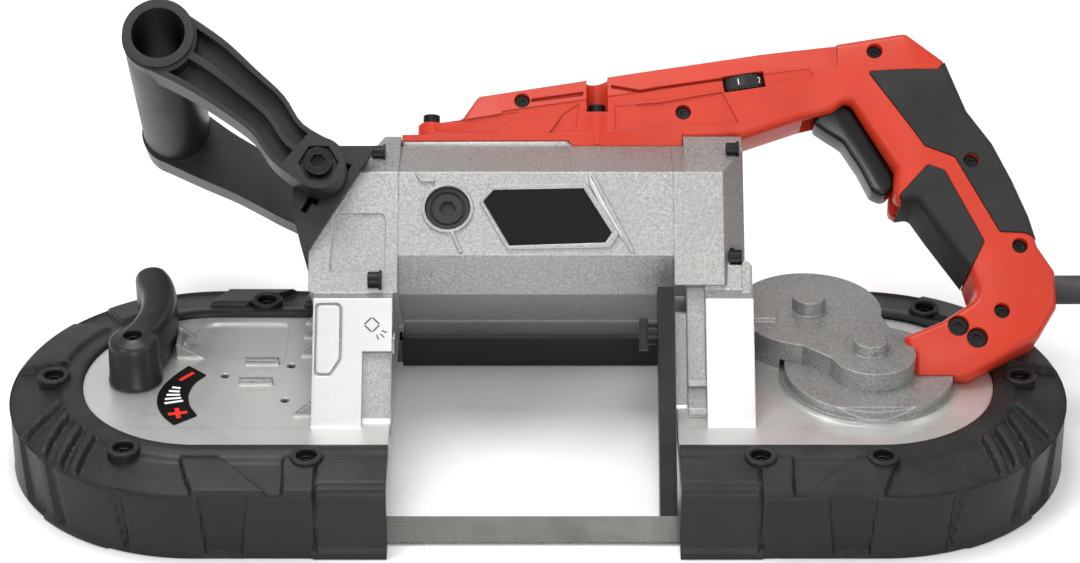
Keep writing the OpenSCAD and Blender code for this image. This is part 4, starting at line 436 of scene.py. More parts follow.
def material(name):
    """A finish by name, made at its first use."""
    if name in MATERIALS:
        return MATERIALS[name]
    scene = bpy.context.scene
    castings, plastics, steels = scene.saw_castings, scene.saw_plastics, scene.saw_steels
    # Moulded: label, tone, stipple, depth, roughness from and to, edge wear, dust, then what differs
    moulded = {
        "bumper_rubber": ("Bumper", plastics.bumper, 0.0007, 0.00005, (0.36, 0.48), 0.35, 0.04, {"shine": 0.25}),
        "tyre_rubber": ("Tyre rubber", (0.02, 0.02, 0.02), 0.0005, 0.00008, (0.6, 0.8), 0.3, 0.1, {}),
        "black_plastic": ("Black plastic", plastics.black, 0.0006, 0.00005, (0.32, 0.44), 0.25, 0.03, {"shine": 0.36}),
        "gloss_plastic": ("Gloss plastic", (0.007, 0.007, 0.007), 0.0004, 0.00001, (0.16, 0.28), 0.15, 0.0,
                          {"shine": 0.3}),
        "red_plastic": ("Red plastic", plastics.red, plastics.stipple, 0.00004, (0.3, 0.42), 0.16, 0.01,
                        {"worn_tone": (0.62, 0.07, 0.04), "shine": 0.3}),
        "grip_rubber": ("Grip rubber", plastics.grip, 0.0009, 0.00013, (0.55, 0.7), 0.25, 0.03, {"shine": 0.3}),
        "label_film": ("Label film", (0.004, 0.004, 0.004), 0.0004, 0.00001, (0.4, 0.5), 0.1, 0.0,
                       {"edge": 0.0003, "shine": 0.12}),
        "sign_red": ("Sign red", (0.78, 0.02, 0.015), 0.0004, 0.00001, (0.3, 0.4), 0.1, 0.0, {"edge": 0.0003}),
        "sign_white": ("Sign white", (0.86, 0.86, 0.84), 0.0004, 0.00001, (0.35, 0.5), 0.1, 0.0, {"edge": 0.0003}),
        "sign_grey": ("Sign grey", (0.09, 0.09, 0.09), 0.0004, 0.00001, (0.4, 0.55), 0.1, 0.0, {"edge": 0.0003}),
        "carbon": ("Carbon", (0.03, 0.03, 0.032), 0.0004, 0.00008, (0.45, 0.6), 0.3, 0.1, {}),
        "cord_rubber": ("Lead rubber", scene.saw_lead.tone, 0.0005, 0.00006, (0.42, 0.55), 0.2, 0.15, {}),
    }
    # Metal: label, tone, spacing of the lines, roughness from and to, metallic, edge wear, then what differs
    metals = {
        "machined_aluminium": ("Machined aluminium", castings.machined_tone_and_pad_highlight, 0.0006, (0.26, 0.4), 0.85, 0.3,
                               {"worn_tone": (0.95, 0.95, 0.95)}),
        "black_steel": ("Blackened steel", steels.black, 0.0005, (0.3, 0.45), 0.9, 0.45,
                        {"worn_tone": (0.25, 0.25, 0.25), "edge": steels.edge}),
        "bright_steel": ("Bright steel", steels.bright, 0.0004, (0.24, 0.42), 1.0, 0.4, {}),
        "blade_steel": ("Blade steel", steels.blade, 0.0003, (0.3, 0.48), 1.0, 0.2, {}),
        "brass": ("Brass", (0.72, 0.52, 0.22), 0.0004, (0.22, 0.4), 1.0, 0.4, {}),
    }
    others = {"lens": lens_material, "copper": winding_material, "stack_steel": lamination_material}
    if name == "cast_aluminium":
        made = cast_material(castings)
    elif name in others:
        made = others[name]()
    else:
        make = moulded_material if name in moulded else steel_material
        label, tone, *plain, differing = moulded[name] if name in moulded else metals[name]
        made = make(label, tuple(tone), *plain, **differing)
    MATERIALS[name] = made
    return made


def finish_node(node, finish):
    """Gives a carried-over CAD node its material. Its mesh is left alone."""
    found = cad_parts.get(node)
    if found is None:
        raise RuntimeError("the packed model has no node " + node)
    for slot in found.material_slots:
        slot.material = material(finish)
    if not found.material_slots:
        found.data.materials.append(material(finish))


# ---------------------------------------------------------------------------
# Mesh helpers
# ---------------------------------------------------------------------------


def add_piece(name, bm, finish, body, smooth, weld=WELD):
    """Makes an object of a bmesh, at the origin, with outward normals, its material and the body it rides on."""
    bmesh.ops.remove_doubles(bm, verts=bm.verts, dist=weld)
    bmesh.ops.recalc_face_normals(bm, faces=bm.faces)
    mesh = bpy.data.meshes.new(name)
    bm.to_mesh(mesh)
    bm.free()
    mesh.shade_smooth()
    mesh.set_sharp_from_angle(angle=math.radians(smooth))
    made = bpy.data.objects.new(name, mesh)
    bpy.context.scene.collection.objects.link(made)
    mesh.materials.append(material(finish))
    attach(made, body)
    return made


def block(bm, outline, low, high, matrix):
    """A straight block on an outline in mm, from low to high along the matrix's z."""
    base = bm.faces.new([bm.verts.new(matrix @ Vector((x / 1000, y / 1000, low / 1000))) for x, y in outline])
    made = bmesh.ops.extrude_face_region(bm, geom=[base])
    verts = [g for g in made["geom"] if isinstance(g, bmesh.types.BMVert)]
    bmesh.ops.translate(bm, verts=verts, vec=matrix.to_3x3() @ Vector((0, 0, (high - low) / 1000)))


def prism(line, low, high, matrix):
    """The same block as a bmesh of its own."""
    bm = bmesh.new()
    block(bm, line, low, high, matrix)
    return bm


def rectangle(x0, y0, x1, y1):
    """The outline of a rectangle."""
    return [(x0, y0), (x1, y0), (x1, y1), (x0, y1)]


def arc_points(x, y, radius, angles):
    """Points on a circle at angles in degrees."""
    return [(x + radius * math.cos(math.radians(a)), y + radius * math.sin(math.radians(a))) for a in angles]


def soften(bm, width):
    """Rounds every edge sharper than 25 degrees, by a width in mm."""
    bmesh.ops.remove_doubles(bm, verts=bm.verts, dist=WELD)
    edges = [e for e in bm.edges if len(e.link_faces) == 2 and e.calc_face_angle(0) > math.radians(25)]
    bmesh.ops.bevel(bm, geom=edges, offset=width / 1000, offset_type="OFFSET", affect="EDGES", segments=2,
                    profile=0.5, material=-1, clamp_overlap=True)


# ---------------------------------------------------------------------------
# Camera and studio
# ---------------------------------------------------------------------------

class SAW_OT_camera(Operator):
    """Sets the camera at the photograph's place"""
    bl_idname = "saw.camera"
    bl_label = "Camera"

    def execute(self, context):
        data = bpy.data.cameras.new("Photo camera")
        data.sensor_fit = "HORIZONTAL"
        data.sensor_width = 36
        data.lens = 96.8
        data.clip_start = 0.05
        data.clip_end = 30
        camera = bpy.data.objects.new("Photo camera", data)
        context.scene.collection.objects.link(camera)
        elevation = math.radians(29.4)
        aim = Vector((0.00096, -0.037, 0.094))
        camera.location = aim + 1.390 * Vector((0, -math.cos(elevation), math.sin(elevation)))
        camera.rotation_euler = (math.radians(90) - elevation, 0, 0)
        context.scene.camera = camera
        return {"FINISHED"}


class SAW_OT_studio(Operator):
    """Sets the pale floor, the softboxes and the room light"""
    bl_idname = "saw.studio"
    bl_label = "Studio"

    def execute(self, context):
        given = context.scene.saw_studio
        bm = bmesh.new()
        bmesh.ops.create_grid(bm, x_segments=8, y_segments=8, size=4)
        floor_mesh = bpy.data.meshes.new("Studio floor")
        bm.to_mesh(floor_mesh)
        bm.free()
        floor = bpy.data.objects.new("Studio_floor", floor_mesh)
        context.scene.collection.objects.link(floor)
        made, n, shader = new_material("Studio paper")
        place = n.place()
        paper = n.noise(place, 300, 4, 0.6)
        feed(n, shader, "Base Color", n.mix(n.span(paper, 0.3, 0.7), shaded(tuple(given.floor), 0.985),
                                            tuple(given.floor)))
        feed(n, shader, "Roughness", n.span(paper, 0.3, 0.7, 0.7, 0.8))
        floor_mesh.materials.append(made)
        world = bpy.data.worlds.new("Studio room")
        world.use_nodes = True
        world.node_tree.nodes["Background"].inputs["Color"].default_value = (1, 1, 1, 1)
        world.node_tree.nodes["Background"].inputs["Strength"].default_value = given.sky
        context.scene.world = world
        context.scene.view_settings.view_transform = "Standard"
        boxes = (
            ("Softbox above", (-0.25, 0.15, 1.5), (0, 0, 0.05), 0.9, given.key),
            ("Softbox left", (-1.1, -0.9, 0.8), (0, 0, 0.1), 0.45, given.key * 0.35),
            ("Softbox right", (1.2, -0.5, 0.9), (0, 0, 0.1), 0.4, given.key * 0.22),
            ("Softbox front", (0.1, -1.0, 1.5), (0, 0, 0.1), 0.35, given.key * 0.24),
            ("Softbox low", (0.05, -1.5, 0.22), (0, 0, 0.1), 0.5, given.key * 0.42),
        )
        for name, place_at, aim, size, power in boxes:
            light = bpy.data.lights.new(name, "AREA")
            light.shape = "DISK"
            light.size = size
            light.energy = power
            lamp = bpy.data.objects.new(name, light)
            context.scene.collection.objects.link(lamp)
            lamp.location = place_at
            lamp.rotation_euler = (Vector(aim) - Vector(place_at)).to_track_quat("-Z", "Y").to_euler()
        return {"FINISHED"}


# ---------------------------------------------------------------------------
# Mains lead: strain relief, free stretch and coil on one line, and the plug
# ---------------------------------------------------------------------------

# Where the lead leaves the handle, the ends of its strain relief along x, and the plug's half height, in mm
LEAD_Y, LEAD_Z = 40.7998, 66.2559
BOOT_START, BOOT_END = 240.2, 297.0
PLUG_HALF = 6.5

# Profiles of (radius, distance) and sections of (distance, half height, half width), in mm from the plug's rear
PIN_Y = 9.5
PIN_PROFILE = ((0, 34.4), (2.0, 34.4), (2.0, 52.0), (1.7, 53.0), (1.0, 53.4), (0, 53.4))
SLEEVE_PROFILE = ((2.06, 34.4), (2.3, 34.6), (2.3, 43.6), (2.06, 44))
PLUG_SECTIONS = ((0.05, 4.7, 4.7), (1.2, 5.1, 5.1), (5, 5.3, 5.4), (5.6, 4.9, 5.0), (7.2, 4.9, 5.0),
                 (7.8, 5.6, 6.2), (14, 6.3, 11.0), (17, 6.5, 14.6), (20, 6.5, 15.8), (33, 6.5, 16.0),
                 (34.6, 6.1, 15.6), (35, 5.6, 15.0))


def smooth_step(t):
    """A share from 0 to 1 that starts and ends softly."""
    t = max(0.0, min(1.0, t))
    return t * t * (3 - 2 * t)


def lead_route():
    """The points of the lead in metres, as the CAD solids have them."""
    d, turns, layers = 7.5, 2.25, 4
    coil_r, bend = 49.0, 34.0
    step = d + 0.6
    top = d / 2 + (layers - 1) * step
    a = math.acos(1 - (LEAD_Z - top) / (2 * bend))
    x0 = BOOT_END + d
    x1 = x0 + 2 * bend * math.sin(a)
    route = [(BOOT_END, LEAD_Y, LEAD_Z)]
    for i in range(9):
        t = a * i / 8
        route.append((x0 + bend * math.sin(t), LEAD_Y, LEAD_Z - bend * (1 - math.cos(t))))
    for i in range(7, -1, -1):
        t = a * i / 8
        route.append((x1 - bend * math.sin(t), LEAD_Y, top + bend * (1 - math.cos(t))))
    start = (x1 + d, LEAD_Y, top)
    route.append(start)
    for i in range(int(turns * layers * 24) + 1):
        t = i / 24
        layer = min(layers - 1, math.floor(t / turns))
        u = t - layer * turns
        r = coil_r - step * (u if layer % 2 == 0 else turns - u)
        down = sum(smooth_step((t - k * turns) * 2 + 0.5) for k in range(1, layers))
        turn = math.radians(90 - 360 * t)
        route.append((start[0] + d + r * math.cos(turn), start[1] - coil_r + r * math.sin(turn), top - down * step))
    end = route[-1]
    for run, rise in ((14, 0), (28, 0), (34, 0.3), (40, 0.8), (46, 1), (53.5, 1)):
        route.append((end[0] + run, end[1], end[2] + rise * (PLUG_HALF + 0.1 - d / 2)))
    return [Vector((x / 1000, y / 1000 + SHIFT_Y, z / 1000)) for x, y, z in route]


def turned(bm, profile, origin, axis, steps=32):
    """Spins a profile of (radius, height) in mm about an axis through a point in metres."""
    axis = Vector(axis).normalized()
    side = axis.orthogonal().normalized()
    verts = [bm.verts.new(origin + side * (r / 1000) + axis * (h / 1000)) for r, h in profile]
    edges = [bm.edges.new(pair) for pair in zip(verts, verts[1:])]
    bmesh.ops.spin(bm, geom=verts + edges, cent=origin, axis=axis, angle=math.tau, steps=steps, use_merge=True)


class SAW_OT_mains_lead(Operator):
    """Makes the mains lead with its coil, its strain relief and its plug"""
    bl_idname = "saw.mains_lead"
    bl_label = "Mains lead"

    def execute(self, context):
        given = context.scene.saw_lead
        route = lead_route()
        curve = bpy.data.curves.new("Mains_lead", "CURVE")
        curve.dimensions = "3D"
        curve.bevel_depth = given.width / 2
        curve.bevel_resolution = 3
        curve.use_fill_caps = True
        spline = curve.splines.new("POLY")
        spline.points.add(len(route) - 1)
        for point, place in zip(spline.points, route):
            point.co = (*place, 1)
        curve.materials.append(material("cord_rubber"))
        lead = bpy.data.objects.new("Mains_lead", curve)
        context.scene.collection.objects.link(lead)
        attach(lead, "saw")
        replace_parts(lead, "mains_cord", "cord_coil")

        bm = bmesh.new()
        origin = Vector((0, LEAD_Y / 1000 + SHIFT_Y, LEAD_Z / 1000))
        profile = [(0, BOOT_START), (6.9, BOOT_START), (7.2, 240.8), (7.2, 246), (6.6, 246.6), (6.6, 247.6),
                   (7.2, 248.2), (7.2, 271)]
        for i in range(5):
            x = 272.0 + 5 * i
            r = 7.2 - (7.2 - 4.9) * (x - 272) / 25
            profile += [(r, x), (r - 0.1, x + 2.7), (r - 0.35, x + 3.1), (4.55, x + 3.2), (4.55, x + 4.5),
                        (r - 0.6, x + 4.7)]
        profile += [(4.9, 296.6), (4.3, 296.95), (0, 296.95)]
        profile = [(r, x - BOOT_START) for r, x in profile]
        turned(bm, profile, origin + Vector((BOOT_START / 1000, 0, 0)), (1, 0, 0), 40)
        boot = add_piece("Strain_relief", bm, "cord_rubber", "saw", 35)
        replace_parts(boot, "strain_relief")

        end = route[-1]
        bm = bmesh.new()
        rings = []
        for x, high, wide in PLUG_SECTIONS:
            ring = []
            for k in range(32):
                t = math.tau * k / 32
                y = wide * math.copysign(abs(math.cos(t)) ** 0.8, math.cos(t))
                z = high * math.copysign(abs(math.sin(t)) ** 0.8, math.sin(t))
                ring.append(bm.verts.new(end + Vector((x, y, z)) / 1000))
            rings.append([bm.edges.new((ring[k], ring[(k + 1) % 32])) for k in range(32)])
        for a, b in zip(rings, rings[1:]):
            bmesh.ops.bridge_loops(bm, edges=a + b)
        bmesh.ops.holes_fill(bm, edges=rings[0] + rings[-1], sides=0)
        plug = add_piece("Mains_plug_body", bm, "cord_rubber", "saw", 35)
        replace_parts(plug, "mains_plug")
        pins, sleeves = bmesh.new(), bmesh.new()
        for side in (-1, 1):
            foot = end + Vector((0, side * PIN_Y / 1000, 0))
            turned(pins, PIN_PROFILE, foot, (1, 0, 0), 20)
            turned(sleeves, SLEEVE_PROFILE, foot, (1, 0, 0), 20)
        pin = add_piece("Mains_plug_pins", pins, "brass", "saw", 35)
        bmesh.ops.holes_fill(sleeves, edges=sleeves.edges, sides=0)
        collar = add_piece("Mains_plug_sleeves", sleeves, "black_plastic", "saw", 35)
        return {"FINISHED"}


# ---------------------------------------------------------------------------
# Rounded outlines, swept grids and carving
# ---------------------------------------------------------------------------

def turn_line(points, arc=6, least=0.0):
    """An outline in mm whose corners (x, y, radius) are rounded by arcs."""
    line = []
    count = len(points)
    for i, (x, y, r) in enumerate(points):
        here = Vector((x, y))
        before = Vector(points[i - 1][:2]) - here
        after = Vector(points[(i + 1) % count][:2]) - here
        half = before.angle(after) / 2
        r = max(r, least)
        reach = min(r / math.tan(half), before.length * 0.48, after.length * 0.48)
        r = reach * math.tan(half)
        if r < 0.05 or half > math.radians(87):
            line.append((x, y))
            continue
        middle = here + (before.normalized() + after.normalized()).normalized() * (r / math.sin(half))
        start = here + before.normalized() * reach - middle
        end = here + after.normalized() * reach - middle
        sweep = start.angle_signed(end)
        for k in range(arc + 1):
            t = -sweep * k / arc
            line.append((middle.x + start.x * math.cos(t) - start.y * math.sin(t),
                         middle.y + start.x * math.sin(t) + start.y * math.cos(t)))
    return line


def dense(line, step):
    """The same closed outline with points no further apart than a step."""
    out = []
    for a, b in zip(line, line[1:] + line[:1]):
        a, b = Vector(a), Vector(b)
        parts = max(1, math.ceil((b - a).length / step))
        out += [tuple(a.lerp(b, k / parts)) for k in range(parts)]
    return out


def grid_piece(bm, columns, rows, place, closed=None):
    """A grid of points that a call places from two shares, u and v.

    It closes on itself along the axis named, 0 or 1, and its two open ends are capped.
    """
    made = bmesh.ops.create_grid(bm, x_segments=columns, y_segments=rows, size=0.5)["verts"]
    ends = ([], [])
    for v in made:
        u, w = v.co.x + 0.5, v.co.y + 0.5
        if closed is not None:
            along, across = (u, w) if closed == 0 else (w, u)
            if along < 1 - 1e-4 and (across < 1e-4 or across > 1 - 1e-4):
                ends[0 if across < 0.5 else 1].append((along, v))
        v.co = place(u, w)
    for end in ends:
        if end:
            bm.faces.new([v for _, v in sorted(end, key=lambda pair: pair[0])])
    if closed is not None:
        bmesh.ops.remove_doubles(bm, verts=bm.verts, dist=FINE_WELD)


def crowned(bm, line, matrix, low, high, drop, inset, steps=6, both=False):
    """A block on a closed outline whose upper rim is rounded over, by a drop and an inset in mm.

    The lower rim is rounded as well where both is set.
    """
    rim = [(drop * (1 - math.sin(math.pi / 2 * k / steps)), inset * (1 - math.cos(math.pi / 2 * k / steps)))
           for k in range(steps + 1)]
    layers = [(low + down, back) for down, back in reversed(rim)] if both else [(low, 0.0)]
    layers += [(high - down, back) for down, back in rim]
    rings = [[matrix @ Vector((x / 1000, y / 1000, height / 1000)) for x, y in grown(line, -back)]
             for height, back in layers]
    grid_piece(bm, len(line), len(rings) - 1,
               lambda u, v: rings[round(v * (len(rings) - 1))][round(u * len(line)) % len(line)], 0)


def loose_object(name, bm):
    """A helper object of a bmesh, used to carve and then removed."""
    bmesh.ops.remove_doubles(bm, verts=bm.verts, dist=FINE_WELD)
    bmesh.ops.connect_verts_nonplanar(bm, angle_limit=0.001, faces=bm.faces)
    bmesh.ops.recalc_face_normals(bm, faces=bm.faces)
    mesh = bpy.data.meshes.new(name)
    bm.to_mesh(mesh)
    bm.free()
    made = bpy.data.objects.new(name, mesh)
    bpy.context.scene.collection.objects.link(made)
    return made


def carved(name, bm, cuts):
    """The bmesh after each cut: (operation, bmesh of the tool). Returns a new bmesh."""
    base = loose_object(name, bm)
    tools = []
    for k, (operation, tool) in enumerate(cuts):
        tools.append(loose_object(name + "_tool%d" % k, tool))
        modifier = base.modifiers.new("Cut%d" % k, "BOOLEAN")
        modifier.operation = operation
        modifier.solver = "EXACT"
        modifier.object = tools[-1]
    bpy.context.view_layer.update()
    out = bmesh.new()
    out.from_mesh(base.evaluated_get(bpy.context.evaluated_depsgraph_get()).to_mesh())
    bmesh.ops.remove_doubles(out, verts=out.verts, dist=WELD)
    bmesh.ops.dissolve_degenerate(out, dist=WELD / 2, edges=out.edges)
    torn = [e for e in out.edges if e.is_boundary]
    if torn:
        bmesh.ops.holes_fill(out, edges=torn, sides=0)
    for made in [base] + tools:
        mesh = made.data
        bpy.data.objects.remove(made)
        bpy.data.meshes.remove(mesh)
    return out


def drill(bm, places, radius, low, high, matrix, steps=28):
    """Adds plain drills to a tool: places in mm on the matrix's own plane."""
    for x, y in places:
        bmesh.ops.create_cone(bm, cap_ends=True, segments=steps, radius1=radius / 1000, radius2=radius / 1000,
                              depth=(high - low) / 1000,
                              matrix=matrix @ Matrix.Translation((x / 1000, y / 1000, (low + high) / 2000)))


# ---------------------------------------------------------------------------
# Bumpers
# ---------------------------------------------------------------------------

# In mm: the wheels' place along x, the radius of the guard's middle line and its half turn, the radius of the bumper's
# inner rim, and the heights of its wall and of its top
WHEEL_X = 160.99
GUARD_R = 84
GUARD_ARC = math.pi * GUARD_R
RIM_R = 60.9
WALL_TOP = 34.0
BUMPER_TOP = 41.0

# Each side's mirroring, reach of the straight ends towards the throat, start of its notch, and screws
BUMPERS = {
    "left": (1, WHEEL_X - 70.4, 49.5, ((23, 74), (-75, 0), (-33, -65), (53, -72))),
    "right": (-1, WHEEL_X - 66.4, 57, ((57, -72), (0, -72), (-74, 0), (-35, 66))),
}

# The section as (share of the way round, radius, height), from the wall's foot over the top to the foot again
BUMPER_SECTION = (
    (0, 88.4, 0.3), (0.01, 88.8, 0), (0.03, 96.9, 0), (0.045, 97.5, 0.6), (0.08, 97.5, 3.2),
    (0.42, 97.5, WALL_TOP - 1.2), (0.45, 96.6, WALL_TOP), (0.80, 70.2, 39.6), (0.85, 66.2, 40.7),
    (0.87, 64.6, BUMPER_TOP), (0.90, 61.7, BUMPER_TOP), (0.92, RIM_R, 40.3), (0.96, RIM_R, 34.7), (0.98, 88.4, 34.7),
    (1.0, 88.4, 0.3))
BEVEL_FROM, WALL_FROM, WALL_TO, TOP_TO = 0.01, 0.045, 0.45, 0.80

# Raised plates as (start, width, slant) along the guard. The first of a pair are on one side of the middle of the
# round end, the second are on both sides, counted from where the arc ends
FOOT_PLATES = (((-96, 37, 0),), ((56, 40, 0),))
WALL_PLATES = (((-45, 22, 8), (-69, 7, 7), (-104, 30, 6), (17, 46, -4), (70, 26, 5)), ((-26, 33, -3), (23, 33, 4)))
TOP_PLATES = (((17, 44, -4), (70, 24, 6)), ((42, 15, 1),))
# Ribs of the top: place at the inner rim and at the outer one
TOP_RIBS = ((-24.6, -43.7), (-38.3, -60.8), (-54, -71), (-66.4, -79.8))


def band(u, v, start, width, slant):
    """How far a point is inside a slanted band, from 0 to 1, all in mm."""
    middle = start + width / 2 + slant * v
    return smooth_step((width / 2 - abs(u - middle)) / 1.3 + 0.5)


def plates(far, share, table):
    """How far a point is on any raised plate of a table, from 0 to 1."""
    one_side, both_sides = table
    return max([band(far, share, *plate) for plate in one_side]
               + [band(abs(far), share, GUARD_ARC / 2 + start, width, slant) for start, width, slant in both_sides])


def section_point(v):
    """The radius and the height of the plain section at a share of the way round."""
    for (before, r0, z0), (after, r1, z1) in zip(BUMPER_SECTION, BUMPER_SECTION[1:]):
        if v <= after + 1e-9:
            t = (v - before) / (after - before)
            return r0 + (r1 - r0) * t, z0 + (z1 - z0) * t
    raise ValueError("no share of the section: %r" % v)


def bumper_shape(u, v, reach):
    """A point of the bumper's surface in mm about the wheel's axle, with the throat towards +x.

    u runs along the guard, v round its section.
    """
    along = u * (2 * reach + GUARD_ARC)
    if along < reach:
        centre, angle = Vector((reach - along, 0)), -math.pi / 2
    elif along > reach + GUARD_ARC:
        centre, angle = Vector((along - reach - GUARD_ARC, 0)), math.pi / 2
    else:
        centre, angle = Vector((0, 0)), -math.pi / 2 - (along - reach) / GUARD_R
    out = Vector((math.cos(angle), math.sin(angle)))
    r, z = section_point(v)
    # Distance along the guard from the middle of the round end, positive on the far side
    far = along - (reach + GUARD_ARC / 2)
    near = abs(far)
    # The plain end block beside the throat, and the places where the wall's foot stays full
    tail = smooth_step((near - (GUARD_ARC / 2 + 57)) / 1.6)
    foot = plates(far, 0, FOOT_PLATES)
    if BEVEL_FROM < v <= WALL_FROM:
        r -= 0.9 * (1 - foot)
    elif WALL_FROM < v < WALL_TO:
        up = (v - WALL_FROM) / (WALL_TO - WALL_FROM)
        raised = plates(far, up, WALL_PLATES)
        lip = smooth_step((4.6 - z) / 0.8) * foot
        r -= 0.9 * (1 - lip) * (1 - tail)
        fade = min(1, (1 - up) * 8, up * 12)
        r -= 2.3 * (1 - max(raised * (1 - 0.35 * up), lip, 0.999 * tail)) * fade
        r -= tail * 6.0 * up * (1 - lip)
        if up > 0.86:
            r -= 0.5 * (up - 0.86) / 0.14
        z += tail * up * 1.4
    elif WALL_TO <= v < TOP_TO:
        down = (TOP_TO - v) / 0.35
        raised = plates(far, down, TOP_PLATES)
        for inner, outer in TOP_RIBS:
            middle = inner + (outer - inner) * down
            raised = max(raised, smooth_step((3.4 - 1.2 * down - abs(far - middle)) / 2.4 + 0.5))
        # The wedge where the arc ends widens outwards
        first = GUARD_ARC / 2 - 7.6 + 9.6 * down
        width = 19 + 17 * down
        raised = max(raised, smooth_step((width / 2 - abs(near - first - width / 2)) / 1.2 + 0.5))
        edge = smooth_step(min(down, 1 - down) * 9)
        z += (2.1 * raised - 1.3 * (1 - raised)) * edge * (1 - tail)
        r -= tail * 7.0 * down
        z += tail * (1.2 * edge + 1.4 * down)
    point = centre + out * r
    return Vector((point.x, point.y, z))


def bumper(side):
    """One bumper as a carved sweep."""
    mirror, reach, notch, screws = BUMPERS[side]
    matrix = TABLE @ Matrix.Translation((-mirror * WHEEL_X / 1000, 0, 0))

    def place(u, v):
        p = bumper_shape(u, v, reach)
        return matrix @ Vector((mirror * p.x / 1000, p.y / 1000, p.z / 1000))

    bm = bmesh.new()
    columns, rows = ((420, 66))
    grid_piece(bm, columns, rows, place, 1)
    bosses, holes = bmesh.new(), bmesh.new()
    for x, y in screws:
        at = matrix @ Vector((mirror * x / 1000, y / 1000, 0))
        turned(bosses, [(0, 34.9), (7.8, 34.9), (7.8, 41.5), (7.3, 42.2), (5.6, 42.2), (5.0, 41.8), (0, 41.8)],
               at, (0, 0, 1), 36)
        turned(holes, [(0, 30), (2.3, 30), (2.3, 36.95), (4.9, 36.95), (4.9, 50), (0, 50)], at, (0, 0, 1), 36)
    room = [(mirror * x, y) for x, y in rectangle(notch, RIM_R - 0.9, reach + 1, 80.5)]
    block(holes, room, 34.5, 60, matrix)
    out = carved(side + "_bumper_cut", bm, (("UNION", bosses), ("DIFFERENCE", holes)))
    made = add_piece(side.capitalize() + "_bumper_moulding", out, "bumper_rubber", "saw", 30)
    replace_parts(made, side + "_bumper")


# ---------------------------------------------------------------------------
# Rear handle
# ---------------------------------------------------------------------------

# Height of the motor's axis, and of the handle's seam, out of the working plane in mm
MOTOR_N = 18.0
# Outlines on the working plane in mm; a third number is the corner's radius
HANDLE_OUTLINE = (
    (-55, 138, 4), (-55, 158.5, 3.6), (-38, 161, 4), (-30, 173, 4), (51, 186, 4), (113, 195.6, 4), (184, 204.5, 6),
    (203, 189.5, 5), (213, 163, 12), (225, 146, 12), (234, 127, 12), (241.5, 108, 8), (245.5, 93, 5), (253.5, 80, 5),
    (253.5, 62, 5), (244, 46.5, 4), (209, 25, 4), (181.7, 25, 4), (182, 37.4, 4), (176.5, 46.9, 4), (197, 55, 6),
    (215.5, 67, 8), (211.8, 80.3, 8), (195, 104, 8), (186.5, 117, 4), (175.4, 114.8, 4), (177, 133, 4),
    (155, 171, 4), (147, 164.5, 4), (131, 160.6, 4), (102, 150.6, 4), (71.8, 149.4, 4), (70, 138, 4))
REAR_GRIP = ((164.5, 184.2), (191.4, 143.8), (206.1, 138), (226.7, 99.4), (238.4, 98.9), (246.6, 96), (268, 110),
             (256, 150), (226, 186), (204, 190), (199.5, 184.2))
FRONT_GRIP = ((192.6, 134.4), (178, 118.5), (184, 108), (205, 72), (211.7, 80), (219.1, 94.8), (200.9, 131.3))

HANDLE_SCREWS = ((-8, 170.2), (72.5, 164.2), (168.4, 194.6), (214, 136.3), (236.3, 92.5), (226.1, 59.5))
FOOT_SCREWS = ((204.6, 51.9), (213.6, 45.9))
TRIGGER_WAY = ((128, 152), (139, 176), (152, 180), (190, 150), (189, 125), (175, 112), (160, 128))
TRIGGER_OUTLINE = ((143, 172, 3), (137.5, 160, 3), (143, 156, 3), (152, 150, 8), (160, 137, 6), (166, 124.5, 3),
                   (172.5, 121.5, 4), (177.5, 127, 3), (176, 134, 3), (157, 167, 4), (150, 172, 3))
# Half the handle's thickness at the grip and along the motor
HANDLE_HALF, BODY_HALF = 21.0, 14.0
# The flange that sits on the housing: its foot, its reach from the seam on each side, and its screw bosses as
# (x, distance out of the working plane, height, radius)
FLANGE_FOOT = 145.8
FLANGE_REACH = {1: 15.0, -1: 18.0}
FLANGE_BOSSES = ((-53.3, 25, 13.7, 6.7), (29.5, 25, 18.9, 8.4))
# Sunk panels and grooves of the thin body's face: outline and depth
BODY_PANELS = (
    (((-66, 154.2), (-20.5, 152.4), (-9.6, 164.4), (-40, 159.4), (-66, 157)), 1.2),
    (((5.6, 153.0), (18.8, 153.6), (20.5, 168.4), (12.8, 163.4)), 1.3),
    (((38.4, 154.6), (100, 158.4), (92, 174.6), (60.9, 168.9), (38.4, 167.2)), 1.1),
    (((-3.4, 169.2), (22.6, 172.6), (22.6, 174.9), (-3.2, 171.2)), 3.2),
    (((36.6, 176.6), (51, 174.0), (61, 175.8), (92, 180.6), (92, 182.2), (61, 177.6), (51, 175.8), (36.6, 178.6)),
     3.3))
BODY_FOLD = ((-44.3, 158.47), (-8, 165.2), (22.9, 169.4), (60.9, 170.2), (92, 176), (131.1, 181.6), (150, 186.5))
FLUTE = ((-18, 164.4, 1), (110, 183.6, 1), (136, 187, 1), (138, 182.4, 1), (112, 178.4, 1), (50, 169.2, 1),
         (44, 163.6, 1), (-18, 158.6, 1))
# The speed dial's place in metres along the plane, and the lean of its window
DIAL_X, DIAL_S = 0.103, 0.180
DIAL_LEAN = Matrix.Rotation(math.radians(8.7), 4, "Z")
DIAL_PROFILE = ((2.5, -3.8), (12.4, -3.8), (13.1, -3.4), (13.3, -3.2), (13.3, -2.4), (13.45, -2.3), (13.45, 2.3),
                (13.3, 2.4), (13.3, 3.2), (13.1, 3.4), (12.4, 3.8), (2.5, 3.8), (2.5, -3.8))
# Degrees between two numbers on the rim, and from the window's middle to the first
NUMBER_STEP, NUMBER_START = 48, 12


def half_thickness(x):
    """Half the handle's thickness at a place along the saw, in mm."""
    return BODY_HALF + (HANDLE_HALF - BODY_HALF) * max(0.0, min(1.0, (x - 140) / 45))


